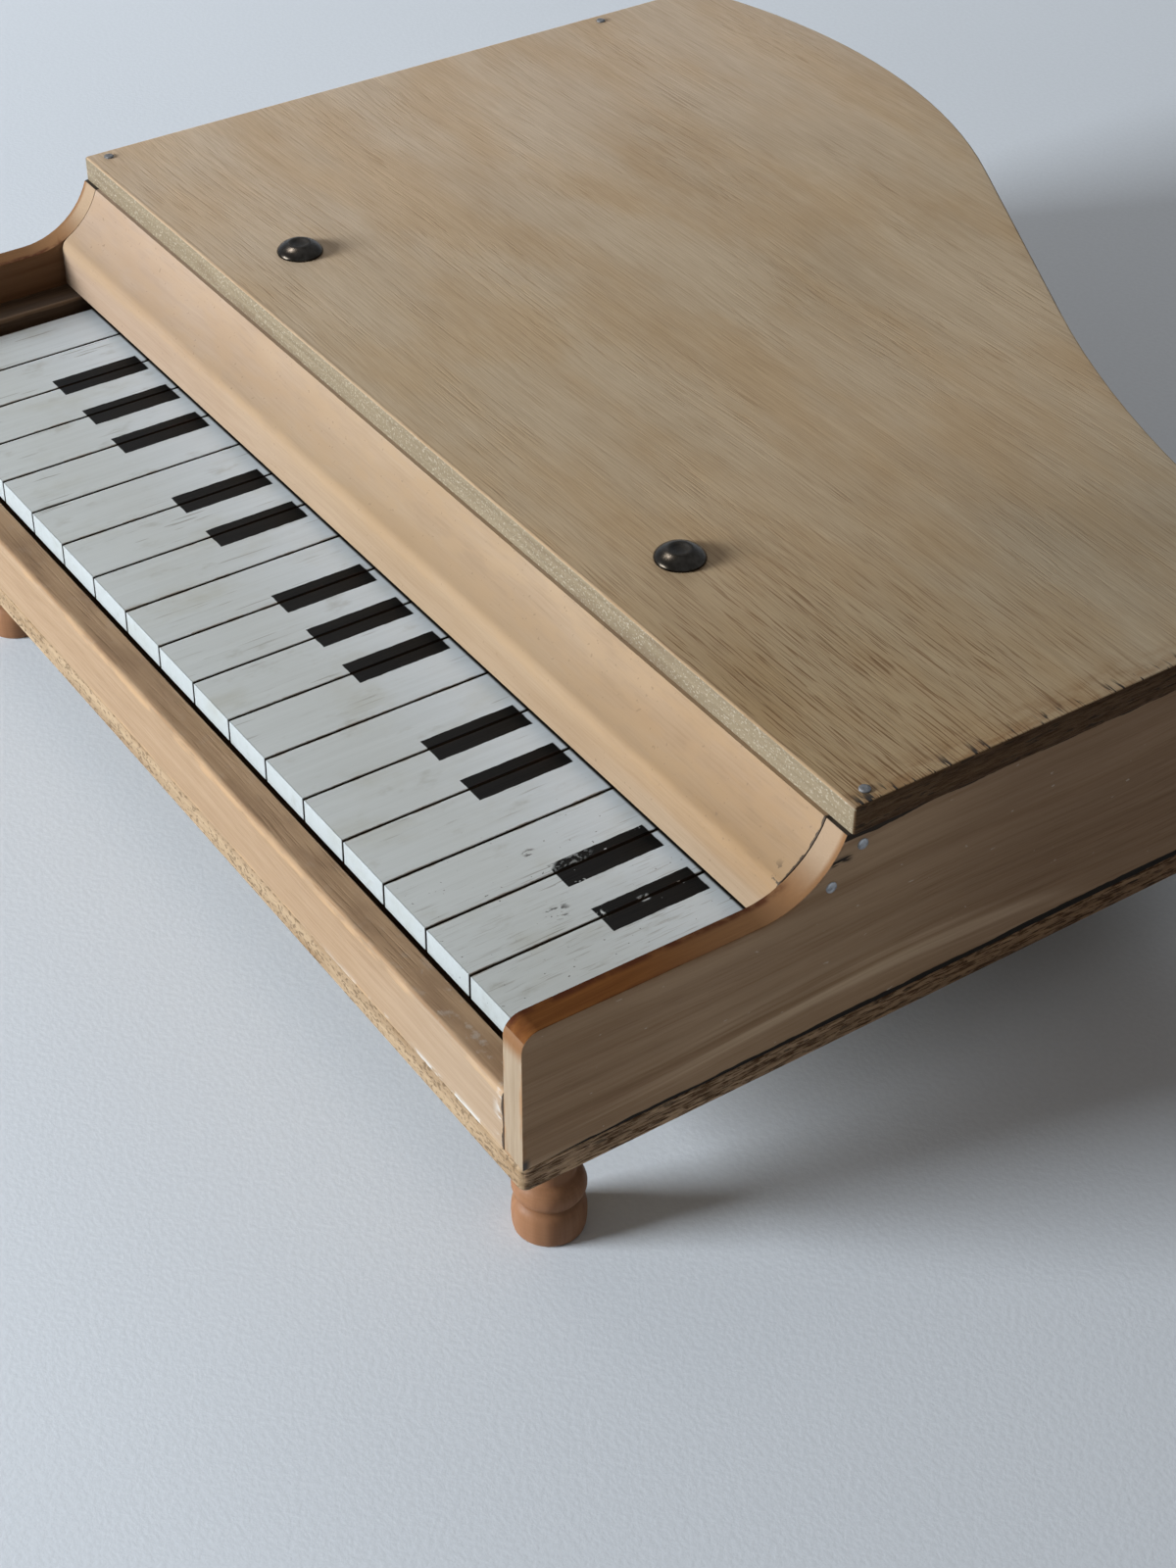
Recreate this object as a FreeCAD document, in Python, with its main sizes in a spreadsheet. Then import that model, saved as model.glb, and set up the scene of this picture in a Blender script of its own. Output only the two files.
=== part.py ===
import FreeCAD, Part
import math
import os
import re

import Sketcher

# Toy grand piano in nailed wood: a plywood case on three turned legs, eighteen white keys with
# painted sharps, and under the nailed-down lid a lever action that strikes steel tone rods.
# Millimetres, +Z up, +X toward the treble, +Y toward the tail.
# Most sizes are measured from the keyboard datum: the top front edge of the keys.

SIZES = {
    # Keys: one wooden lever each, thin in front and deeper over the pivot rod
    "key_pitch": 14.0,
    "key_gap": 0.6,
    "key_front_thick": 5.0,
    "key_thick": 9.0,
    "key_thin_length": 40.0,
    "key_ramp": 6.0,
    "key_shoulder_clear": 6.0,
    "key_shoulder_ramp": 4.0,
    "key_tail_drop": 4.0,
    "key_tail_lever": 50.5,
    "pivot_back": 64.0,
    "pivot_below": 4.5,
    "pivot_radius": 1.5,
    "running_clearance": 0.05,
    # Hammers: levers on one axle wire, lifted at the heel by the key's tail
    "axle_behind_tail": 11.5,
    "axle_above_tail": 4.0,
    "axle_radius": 1.0,
    "hammer_wide": 8.0,
    "hammer_boss": 2.5,
    "shank_half": 2.0,
    "heel_reach": 13.5,
    "heel_long": 3.5,
    "heel_gap": 0.1,
    "head_reach": 36.0,
    "head_long": 8.0,
    "head_shoulder": 4.0,
    "head_round": 5.0,
    "head_under": 3.0,
    # Comb that carries the axle wire
    "comb_front": 5.0,
    "comb_slot_back": 3.2,
    "comb_spine": 3.8,
    "comb_top": 3.0,
    "comb_slot_deep": 4.0,
    "comb_play": 0.3,
    "comb_margin": 2.0,
    # Tone block, rods and their two screws
    "block_behind_edge": 12.4,
    "block_deep": 12.0,
    "block_tall": 9.9,
    "block_margin": 2.0,
    "rod_radius": 1.25,
    "rod_drop": 4.9,
    "rod_web": 0.5,
    "rod_bass_clear": 27.0,
    "rod_treble_clear": 23.0,
    "fit_clearance": 0.02,
    "screw_spacing": 140.0,
    "screw_offset": -4.3,
    "screw_radius": 2.0,
    "screw_grip": 6.0,
    "screw_head_radius": 5.0,
    "screw_head_tall": 2.4,
    # Felt and the rails that stop the keys
    "felt_thick": 3.0,
    "stop_front": 6.0,
    "stop_deep": 8.0,
    "key_dip_at_stop": 4.55,
    "stop_gap": 0.2,
    "ledge_margin": 2.0,
    "rest_before_tail": 14.5,
    "rest_deep": 8.0,
    # Case
    "end_gap": 1.0,
    "cheek_wide": 7.5,
    "cheek_rise": 3.0,
    "cheek_past_pivot": 16.0,
    "side_thick": 5.5,
    "side_rise": 12.0,
    "nose_radius": 3.5,
    "cove_start": 39.0,
    "cove_radius": 18.0,
    "lip_past_cove": 7.2,
    "fallboard_deep": 15.8,
    "rail_thick": 6.4,
    "rail_gap": 1.4,
    "rail_drop": 4.6,
    "key_above_board": 17.8,
    "board_thick": 5.5,
    "board_corner": 1.6,
    "lid_above_key": 23.9,
    "lid_thick": 5.5,
    "lid_past_cove": 17.8,
    "lid_overhang": 0.5,
    # Grand outline: right corner, hollow waist, straight run, round tail, left corner
    "tail_reach": 238.2,
    "tail_centre_inset": 54.5,
    "tail_radius": 140.0,
    "tail_corner": 18.0,
    "straight_run": 59.4,
    "treble_reach": 160.5,
    "waist_radius": 265.0,
    "waist_corner": 6.0,
    "bent_thick": 4.0,
    "left_joint_inset": 30.2,
    "right_joint_inset": 4.5,
    # Turned legs
    "leg_height": 18.0,
    "leg_back": 1.7,
    "leg_right_inset": 6.7,
    "leg_left": 78.0,
    "leg_rear_inset": 24.0,
    "foot_bottom": 6.25,
    "foot_top": 6.2,
    "foot_tall": 6.6,
    "foot_round": 18.0,
    "notch_radius": 5.65,
    "notch_tall": 0.9,
    "bead_tall": 5.4,
    "bead_round": 3.45,
    "neck_radius": 4.6,
    "tenon_radius": 3.0,
    "tenon_short": 0.5,
    # Nails
    "nail_radius": 0.6,
    "nail_head_radius": 1.1,
    "nail_head_tall": 0.4,
    "nail_length": 11.0,
    "lid_nail_inset": 4.5,
    "lid_nail_rear": 12.0,
    "side_nail_stagger": 1.9,
    "side_nail_step": 6.1,
    "side_nail_upper_drop": 3.3,
    "side_nail_lower_drop": 9.9,
}

KEYS = 18
# Semitones above the lowest note for the white keys from E upward.
SEMITONES = (0, 1, 3, 5, 7, 8, 10, 12, 13, 15, 17, 19, 20, 22, 24, 25, 27, 29)

doc = FreeCAD.newDocument("toy_piano")
sheet = doc.addObject("Spreadsheet::Sheet", "Sizes")
for row, (alias, value) in enumerate(SIZES.items(), start=1):
    sheet.set(f"A{row}", alias)
    sheet.set(f"B{row}", str(value))
    sheet.setAlias(f"B{row}", alias)
doc.recompute()


def bound(text):
    """The sum as a spreadsheet expression."""
    return re.sub(r"[a-z][a-z_]+", lambda word: "Sizes." + word.group(0), text)


def terms(text):
    """The signs and products that a sum is made of."""
    return re.findall(r"([+-]?)\s*([^+-]+)", text)


def amount(text):
    """The value of a sum of products of sizes and numbers."""
    total = 0.0
    for sign, term in terms(text):
        product = 1.0
        for factor in term.split("*"):
            word = factor.strip()
            product *= SIZES[word] if word in SIZES else float(word)
        total += -product if sign == "-" else product
    return total


def less(text):
    """The sum with every sign turned round."""
    return " ".join(("+ " if sign == "-" else "- ") + term.strip() for sign, term in terms(text))


# Sums that several pieces share
FRONT = "-rail_thick - rail_gap"
BOARD_TOP = "-key_above_board"
HALF_KEYS = "key_pitch * 9"
CHEEK_INNER = HALF_KEYS + " + end_gap"
SIDE_INNER = CHEEK_INNER + " + cheek_wide"
CASE_HALF = SIDE_INNER + " + side_thick"
LID_HALF = CASE_HALF + " + lid_overhang"
KEY_LENGTH = "pivot_back + key_tail_lever"
AXLE_BACK = KEY_LENGTH + " + axle_behind_tail"
SHOULDER_END = AXLE_BACK + " - head_reach - key_shoulder_clear"
REST_BACK = KEY_LENGTH + " - rest_before_tail"
CHEEK_BACK = "pivot_back + cheek_past_pivot"
LIP_FRONT = "cove_start + lip_past_cove"
LID_FRONT = "cove_start + lid_past_cove"
BLOCK_FRONT = LID_FRONT + " + block_behind_edge"
BLOCK_BACK = BLOCK_FRONT + " + block_deep"
TAIL_CENTRE = (less(LID_HALF) + " + tail_centre_inset", "tail_reach - tail_radius")
LEFT_END = "tail_reach - left_joint_inset"
RIGHT_END = "treble_reach - right_joint_inset"
AXLE_RISE = "axle_above_tail - key_tail_drop"
LEDGE_TOP = "-key_front_thick - key_dip_at_stop - stop_gap - felt_thick"
DATUM_Y = "rail_thick * 0.5 + rail_gap * 0.5 - tail_reach * 0.5"
DATUM_Z = "leg_height + board_thick + key_above_board"


def place(item, across="0", back="0", rise="0"):
    """Put an object at sums measured from the keyboard datum."""
    for axis, text in (("x", across), ("y", back + " + " + DATUM_Y), ("z", rise + " + " + DATUM_Z)):
        item.setExpression("Placement.Base." + axis, bound(text))
    return item


def part_of(text, share):
    """The sum with every product taken by the share."""
    pieces = [f"{sign or '+'} {term.strip()} * {share:.6f}" for sign, term in terms(text)]
    return " ".join(pieces).lstrip("+ ")


def new_body(label, across="0", back="0", rise="0"):
    body = doc.addObject("PartDesign::Body", label)
    body.Label = label
    return place(body, across, back, rise)


def new_sketch(body, role):
    plane = next(item for item in body.Origin.OriginFeatures if item.Role == role)
    sketch = body.newObject("Sketcher::SketchObject", body.Name + "_sketch")
    sketch.AttachmentSupport = [(plane, "")]
    sketch.MapMode = "FlatFace"
    return sketch


def point(pair):
    """A corner as a vector: text is a bound sum, a number only a first guess."""
    values = [amount(item) if isinstance(item, str) else item for item in pair]
    return FreeCAD.Vector(values[0], values[1], 0)


def bind(sketch, constraint, text):
    sketch.setExpression(f"Constraints[{sketch.addConstraint(constraint)}]", bound(text))


def lock(sketch, element, spot, pair):
    """Hold a point of the sketch at the bound coordinates."""
    for kind, text in zip(("DistanceX", "DistanceY"), pair):
        if isinstance(text, str):
            bind(sketch, Sketcher.Constraint(kind, -1, 1, element, spot, amount(text)), text)


def closed_path(sketch, corners, bends=None, smooth=()):
    """Draw a closed path of lines and arcs.

    bends maps a segment to (centre, turn, radius): turn is +1 to the left and -1 to the right.
    smooth lists the corners where the two segments run into each other tangentially.
    """
    bends = bends or {}
    first = sketch.GeometryCount
    count = len(corners)
    ends = []
    for index in range(count):
        start = point(corners[index])
        end = point(corners[(index + 1) % count])
        if index not in bends:
            sketch.addGeometry(Part.LineSegment(start, end))
            ends.append((1, 2))
            continue
        middle = point(bends[index][0])
        turn = bends[index][1]
        angles = [math.atan2(spot.y - middle.y, spot.x - middle.x) for spot in (start, end)]
        if turn < 0:
            angles.reverse()
        circle_line = Part.Circle(middle, FreeCAD.Vector(0, 0, 1), (start - middle).Length)
        sketch.addGeometry(Part.ArcOfCircle(circle_line, angles[0], angles[1]))
        ends.append((1, 2) if turn > 0 else (2, 1))
    for index in range(count):
        after = (index + 1) % count
        kind = "Tangent" if after in smooth else "Coincident"
        sketch.addConstraint(
            Sketcher.Constraint(kind, first + index, ends[index][1], first + after, ends[after][0]))
    for index, corner in enumerate(corners):
        lock(sketch, first + index, ends[index][0], corner)
    for index, (centre, turn, radius) in bends.items():
        lock(sketch, first + index, 3, centre)
        if radius:
            bind(sketch, Sketcher.Constraint("Radius", first + index, amount(radius)), radius)
    return first


def ring(sketch, centre, radius):
    """Draw a round hole."""
    hole = sketch.addGeometry(Part.Circle(point(centre), FreeCAD.Vector(0, 0, 1), amount(radius)))
    lock(sketch, hole, 3, centre)
    bind(sketch, Sketcher.Constraint("Radius", hole, amount(radius)), radius)


def pad(body, sketch, length):
    feature = body.newObject("PartDesign::Pad", body.Name + "_pad")
    feature.Profile = sketch
    feature.setExpression("Length", bound(length))
    sketch.Visibility = False
    return body


def turn(body, sketch):
    feature = body.newObject("PartDesign::Revolution", body.Name + "_turning")
    feature.Profile = sketch
    feature.ReferenceAxis = (sketch, ["V_Axis"])
    feature.Angle = 360
    sketch.Visibility = False
    return body


def box(label, across, back, rise, wide, deep, tall):
    item = doc.addObject("Part::Box", label)
    item.Label = label
    for name, text in (("Length", wide), ("Width", deep), ("Height", tall)):
        item.setExpression(name, bound(text))
    return place(item, across, back, rise)


TOWARD = {
    "+X": FreeCAD.Rotation(FreeCAD.Vector(0, 1, 0), 90),
    "-X": FreeCAD.Rotation(FreeCAD.Vector(0, 1, 0), -90),
    "+Y": FreeCAD.Rotation(FreeCAD.Vector(1, 0, 0), -90),
    "-Z": FreeCAD.Rotation(FreeCAD.Vector(1, 0, 0), 180),
}


def rod(label, direction, across, back, rise, radius, length):
    """A round bar that starts at a point and runs in a direction."""
    item = doc.addObject("Part::Cylinder", label)
    item.Label = label
    item.setExpression("Radius", bound(radius))
    item.setExpression("Height", bound(length))
    item.Placement = FreeCAD.Placement(FreeCAD.Vector(), TOWARD[direction])
    return place(item, across, back, rise)


def group(label, items):
    item = doc.addObject("Part::Compound", label)
    item.Label = label
    item.Links = items
    return item


def cut(label, base, tools):
    """A piece with holes or slots taken out of it."""
    item = doc.addObject("Part::Cut", label)
    item.Label = label
    item.Base = base
    item.Tool = group(label + "_cuts", tools)
    return item


def nail(label, direction, across, back, rise):
    """A wire nail: its head stands on the wood and its shank runs in."""
    head_across, head_rise = across, rise
    if direction == "-Z":
        head_rise = rise + " + nail_head_tall"
    else:
        head_across = across + (" - " if direction == "+X" else " + ") + "nail_head_tall"
    head = rod(label + "_head", direction, head_across, back, head_rise, "nail_head_radius", "nail_head_tall")
    shank = rod(label + "_shank", direction, across, back, rise, "nail_radius", "nail_length")
    item = doc.addObject("Part::Fuse", label)
    item.Base = head
    item.Tool = shank
    return item


def straight_slope(tail_centre, radii, treble, reach):
    """The straight run between tail and waist, and the waist's centre.

    The run slopes so that the waist's centre lies at the reach from the treble corner's centre.
    """
    low, high = 0.0, math.pi / 3
    for step in range(60):
        slope = (low + high) / 2
        run = FreeCAD.Vector(1, -math.tan(slope), 0) * amount("straight_run")
        waist_centre = tail_centre + FreeCAD.Vector(math.sin(slope), math.cos(slope), 0) * radii + run
        if (waist_centre - treble).Length > reach:
            low = slope
        else:
            high = slope
    return run, waist_centre


def grand_outline(sketch, half, front, inset, part_way=None, front_corner=None):
    """Draw the grand piano outline, moved in by the inset.

    The path runs up the treble side, round its corner, along the hollow waist, the straight
    run and the round tail, and down the bass side. With part_way, a pair of heights on the
    treble and bass sides, only a strip of bent_thick is drawn between those heights.
    With front_corner, a radius, the two front corners are rounded.
    """
    depths = [inset] if part_way is None else [inset, inset + " + bent_thick"]
    loops = []
    for depth in depths:
        edge = amount(half) - amount(depth)
        tail = amount("tail_radius") - amount(depth)
        waist = amount("waist_radius") + amount(depth)
        treble_corner = amount("waist_corner") - amount(depth)
        bass_corner = amount("tail_corner") - amount(depth)
        treble = FreeCAD.Vector(edge - treble_corner, amount("treble_reach"), 0)
        tail_centre = point(TAIL_CENTRE)
        run, waist_centre = straight_slope(tail_centre, tail + waist, treble, waist + treble_corner)
        normal = FreeCAD.Vector(-run.y, run.x, 0).normalize()
        tail_end = tail_centre + normal * tail
        waist_start = tail_end + run
        waist_end = waist_centre + (treble - waist_centre).normalize() * waist
        bass = FreeCAD.Vector(bass_corner - edge, 0, 0)
        reach = (tail - bass_corner) ** 2 - (bass.x - tail_centre.x) ** 2
        bass.y = tail_centre.y + math.sqrt(reach)
        tail_start = tail_centre + (bass - tail_centre).normalize() * tail
        loops.append((depth, [treble, waist_end, waist_centre, waist_start, tail_end, tail_start, bass]))
    corners = []
    bends = {}
    smooth = []
    straights = []
    for order, (depth, spots) in enumerate(loops):
        treble, waist_end, waist_centre, waist_start, tail_end, tail_start, bass = spots
        right = half + less(depth) if depth != "0" else half
        left = less(right)
        low = f"{front} + {front_corner}" if front_corner else front
        low_right, low_left = part_way or (low, low)
        shrink = "" if depth == "0" else less(depth)
        grow = "" if depth == "0" else " + " + depth
        segments = [
            ((right, low_right), None),
            ((right, treble.y), ((treble.x, "treble_reach"), 1, "waist_corner " + shrink)),
            ((waist_end.x, waist_end.y), ((waist_centre.x, waist_centre.y), -1, "waist_radius" + grow)),
            ((waist_start.x, waist_start.y), None),
            ((tail_end.x, tail_end.y), (TAIL_CENTRE, 1, "tail_radius " + shrink)),
            ((tail_start.x, tail_start.y), ((bass.x, bass.y), 1, "tail_corner " + shrink)),
            ((left, bass.y), None),
            ((left, low_left), None),
        ]
        if order == 0:
            for corner, bend in segments:
                if bend:
                    bends[len(corners)] = bend
                corners.append(corner)
            smooth += [1, 2, 3, 4, 5, 6]
            straights.append(3)
            if front_corner:
                inner_left, inner_right = f"{left} + {front_corner}", f"{right} - {front_corner}"
                bends[7] = ((amount(inner_left), amount(low)), 1, front_corner)
                bends[9] = ((amount(inner_right), amount(low)), 1, front_corner)
                corners += [(inner_left, front), (inner_right, front)]
        else:
            # The inner edge of the strip runs back the other way.
            base = len(corners)
            points = [corner for corner, bend in segments]
            for index in range(7, -1, -1):
                bend = segments[index - 1][1] if index else None
                if bend:
                    bends[len(corners)] = (bend[0], -bend[1], bend[2])
                corners.append(points[index])
            smooth += [base + step for step in (1, 2, 3, 4, 5, 6)]
            straights.append(base + 3)
    first = closed_path(sketch, corners, bends, smooth)
    for order, index in enumerate(straights):
        # The straight run keeps its length across the case.
        left_end, right_end = ((2, 1), (1, 2))[order]
        bind(sketch, Sketcher.Constraint("DistanceX", first + index, left_end, first + index, right_end,
                                         amount("straight_run")), "straight_run")


nodes = []

# Bottom board and lid: plywood cut to the grand outline
LEGS = {
    "leg_front_left": ("-leg_left", "leg_back"),
    "leg_front_right": (CASE_HALF + " - leg_right_inset", "leg_back"),
    "leg_rear": ("-leg_left", "tail_reach - leg_rear_inset"),
}
board = new_body("bottom_board", rise=BOARD_TOP + " - board_thick")
outline = new_sketch(board, "XY_Plane")
grand_outline(outline, LID_HALF, FRONT, "lid_overhang", front_corner="board_corner")
for spot in LEGS.values():
    ring(outline, spot, "tenon_radius + running_clearance")
nodes.append(pad(board, outline, "board_thick"))

NAIL_SPOTS = {
    "front_left": (less(CASE_HALF) + " + side_thick * 0.5", LID_FRONT + " + lid_nail_inset"),
    "front_right": (CASE_HALF + " - side_thick * 0.5", LID_FRONT + " + lid_nail_inset"),
    "rear_left": (less(CASE_HALF) + " + side_thick * 0.5", LEFT_END + " - lid_nail_rear"),
    "rear_right": (CASE_HALF + " - side_thick * 0.5", RIGHT_END + " - lid_nail_rear"),
}
SCREWS = ("screw_offset - screw_spacing * 0.5", "screw_offset + screw_spacing * 0.5")
SCREW_BACK = BLOCK_FRONT + " + block_deep * 0.5"
lid = new_body("lid", rise="lid_above_key")
outline = new_sketch(lid, "XY_Plane")
grand_outline(outline, LID_HALF, LID_FRONT, "0")
for across in SCREWS:
    ring(outline, (across, SCREW_BACK), "screw_radius + running_clearance")
for spot in NAIL_SPOTS.values():
    ring(outline, spot, "nail_radius + fit_clearance")
nodes.append(pad(lid, outline, "lid_thick"))

# Bent side: one strip of thin plywood round the waist and tail
bent = new_body("bent_side", rise=BOARD_TOP)
outline = new_sketch(bent, "XY_Plane")
grand_outline(outline, LID_HALF, FRONT, "lid_overhang", (RIGHT_END, LEFT_END))
nodes.append(pad(bent, outline, "key_above_board + lid_above_key"))

# Straight sides: the arm is low beside the keys and sweeps up to the lid in a cove
UPPER_NAIL = LID_FRONT + " + lid_nail_inset - side_nail_stagger"
SIDE_NAILS = ((UPPER_NAIL, "lid_above_key - side_nail_upper_drop"),
              (UPPER_NAIL + " - side_nail_step", "lid_above_key - side_nail_lower_drop"))
COVE_CENTRE = ("cove_start", "side_rise + cove_radius")
COVE_END = SIZES["cove_start"] + math.sqrt(
    SIZES["cove_radius"] ** 2 - (amount("side_rise + cove_radius - lid_above_key")) ** 2)
for name, across, length in (("left", less(CASE_HALF), LEFT_END), ("right", SIDE_INNER, RIGHT_END)):
    side = new_body(name + "_side_blank", across)
    profile = new_sketch(side, "YZ_Plane")
    nose = FRONT + " + nose_radius"
    nose_middle = (amount(nose), amount("side_rise - nose_radius"))
    closed_path(
        profile,
        [(FRONT, BOARD_TOP), (length, BOARD_TOP), (length, "lid_above_key"), (COVE_END, "lid_above_key"),
         ("cove_start", "side_rise"), (nose, "side_rise"), (FRONT, "side_rise - nose_radius")],
        {3: (COVE_CENTRE, -1, None), 5: (nose_middle, 1, "nose_radius")})
    for spot in SIDE_NAILS:
        ring(profile, spot, "nail_radius + fit_clearance")
    pad(side, profile, "side_thick")
    holes = [rod(f"{name}_{end}_hole", "-Z", *NAIL_SPOTS[f"{end}_{name}"], "lid_above_key",
                 "nail_radius + fit_clearance", "nail_length - lid_thick + fit_clearance")
             for end in ("front", "rear")]
    nodes.append(cut(name + "_side", side, holes))

# Fallboard: a solid moulding with the same cove as the arms
fallboard = new_body("fallboard_blank", less(SIDE_INNER))
profile = new_sketch(fallboard, "YZ_Plane")
LIP_TOP = amount("side_rise + cove_radius") - math.sqrt(
    SIZES["cove_radius"] ** 2 - SIZES["lip_past_cove"] ** 2)
closed_path(
    profile,
    [(LIP_FRONT, "cheek_rise"), (LIP_FRONT + " + fallboard_deep", "cheek_rise"),
     (LIP_FRONT + " + fallboard_deep", "lid_above_key"), (COVE_END, "lid_above_key"), (LIP_FRONT, LIP_TOP)],
    {3: (COVE_CENTRE, -1, "cove_radius")})
pad(fallboard, profile, SIDE_INNER + " + " + SIDE_INNER)
holes = []
for number, spot in enumerate(SIDE_NAILS, start=1):
    for name, direction, across in (("left", "+X", less(SIDE_INNER)), ("right", "-X", SIDE_INNER)):
        holes.append(rod(f"fallboard_hole_{name}_{number}", direction, across, *spot,
                         "nail_radius + fit_clearance", "nail_length - side_thick + fit_clearance"))
nodes.append(cut("fallboard", fallboard, holes))

# Front rail: the key slip, with a ledge behind it under the key fronts
rail = new_body("front_rail", less(SIDE_INNER))
profile = new_sketch(rail, "YZ_Plane")
LEDGE_BACK = "stop_front + stop_deep + ledge_margin"
closed_path(profile, [(FRONT, BOARD_TOP), (LEDGE_BACK, BOARD_TOP), (LEDGE_BACK, LEDGE_TOP),
                      ("-rail_gap", LEDGE_TOP), ("-rail_gap", "-rail_drop"), (FRONT, "-rail_drop")])
nodes.append(pad(rail, profile, SIDE_INNER + " + " + SIDE_INNER))

# Cheeks: blocks between the end keys and the sides that carry the pivot rod and the fallboard
for name, across in (("left", less(SIDE_INNER)), ("right", CHEEK_INNER)):
    cheek = new_body(name + "_cheek", across)
    profile = new_sketch(cheek, "YZ_Plane")
    closed_path(profile, [("-rail_gap", LEDGE_TOP), (LEDGE_BACK, LEDGE_TOP), (LEDGE_BACK, BOARD_TOP),
                          (CHEEK_BACK, BOARD_TOP), (CHEEK_BACK, "cheek_rise"), ("-rail_gap", "cheek_rise")])
    ring(profile, ("pivot_back", "-pivot_below"), "pivot_radius + fit_clearance")
    nodes.append(pad(cheek, profile, "cheek_wide"))
nodes.append(rod("key_pivot_rod", "+X", less(SIDE_INNER), "pivot_back", "-pivot_below",
                 "pivot_radius", SIDE_INNER + " + " + SIDE_INNER))

# Felt strips that stop the keys: under the fronts, and under the resting tails
nodes.append(box("front_stop_felt", less(HALF_KEYS), "stop_front", LEDGE_TOP,
                 HALF_KEYS + " + " + HALF_KEYS, "stop_deep", "felt_thick"))
nodes.append(box("back_rest_rail", less(HALF_KEYS), REST_BACK, BOARD_TOP, HALF_KEYS + " + " + HALF_KEYS,
                 "rest_deep", "key_above_board - key_thick - felt_thick"))
nodes.append(box("back_rest_felt", less(HALF_KEYS), REST_BACK, "-key_thick - felt_thick",
                 HALF_KEYS + " + " + HALF_KEYS, "rest_deep", "felt_thick"))

# Hammer comb: a slotted rail on the bottom board that carries the axle wire between its teeth
COMB_HALF = HALF_KEYS + " + comb_margin"
SLOT_WIDE = "hammer_wide + comb_play * 2"
comb = box("hammer_rail_blank", less(COMB_HALF), AXLE_BACK + " - comb_front", BOARD_TOP,
           COMB_HALF + " + " + COMB_HALF, "comb_front + comb_slot_back + comb_spine",
           AXLE_RISE + " + comb_top + key_above_board")
cuts = [rod("axle_hole", "+X", less(COMB_HALF), AXLE_BACK, AXLE_RISE, "axle_radius + fit_clearance",
            COMB_HALF + " + " + COMB_HALF)]
for index in range(KEYS):
    centre = f"key_pitch * {index - 8.5}" if index > 8 else f"-key_pitch * {8.5 - index}"
    cuts.append(box(f"comb_slot_{index + 1:02d}", centre + " - hammer_wide * 0.5 - comb_play",
                    AXLE_BACK + " - comb_front", AXLE_RISE + " - comb_slot_deep", SLOT_WIDE,
                    "comb_front + comb_slot_back", "comb_slot_deep + comb_top"))
nodes.append(cut("hammer_rail", comb, cuts))
nodes.append(rod("hammer_axle", "+X", less(COMB_HALF), AXLE_BACK, AXLE_RISE, "axle_radius",
                 COMB_HALF + " + " + COMB_HALF))

# Tone block under the lid, with eighteen steel rods whose lengths follow the pitch of the notes
BLOCK_HALF = HALF_KEYS + " + block_margin"
ROD_RISE = "lid_above_key - rod_drop"
ROD_START = SCREW_BACK + " + screw_radius + rod_web"
ROD_SEAT = "block_deep * 0.5 - screw_radius - rod_web"
SHORTEST = 2 ** (-SEMITONES[-1] / 24)
BASS_ROD = "tail_reach - rod_bass_clear" + less(BLOCK_BACK)
TREBLE_ROD = "treble_reach - rod_treble_clear" + less(BLOCK_BACK)
block = box("tone_block_blank", less(BLOCK_HALF), BLOCK_FRONT, "lid_above_key - block_tall",
            BLOCK_HALF + " + " + BLOCK_HALF, "block_deep", "block_tall")
rods = []
holes = [rod(f"screw_hole_{number}", "-Z", across, SCREW_BACK, "lid_above_key",
             "screw_radius + running_clearance", "screw_grip + running_clearance")
         for number, across in enumerate(SCREWS, start=1)]
for index, semitone in enumerate(SEMITONES):
    centre = f"key_pitch * {index - 8.5}" if index > 8 else f"-key_pitch * {8.5 - index}"
    # The share of the bass rod falls with the pitch, and the treble rod takes the rest.
    share = (2 ** (-semitone / 24) - SHORTEST) / (1 - SHORTEST)
    length = f"{ROD_SEAT} + {part_of(BASS_ROD, share)} + {part_of(TREBLE_ROD, 1 - share)}"
    rods.append(rod(f"tone_rod_{index + 1:02d}", "+Y", centre, ROD_START, ROD_RISE, "rod_radius", length))
    holes.append(rod(f"rod_hole_{index + 1:02d}", "+Y", centre, ROD_START, ROD_RISE,
                     "rod_radius + fit_clearance", ROD_SEAT))
nodes.append(cut("tone_block", block, holes))
nodes.append(group("tone_rods", rods))

# Two domed screws through the lid into the tone block
screws = []
for number, across in enumerate(SCREWS, start=1):
    screw = new_body(f"tone_block_screw_{number}", across, SCREW_BACK, "lid_above_key + lid_thick")
    profile = new_sketch(screw, "XZ_Plane")
    dome = amount("screw_head_radius") ** 2 / SIZES["screw_head_tall"] / 2 - SIZES["screw_head_tall"] / 2
    closed_path(
        profile,
        [("screw_head_radius", "0"), ("0", "screw_head_tall"), ("0", "-lid_thick - screw_grip"),
         ("screw_radius", "-lid_thick - screw_grip"), ("screw_radius", "0")],
        {0: (("0", -dome), 1, None)})
    screws.append(turn(screw, profile))
nodes.append(group("tone_block_screws", screws))

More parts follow.
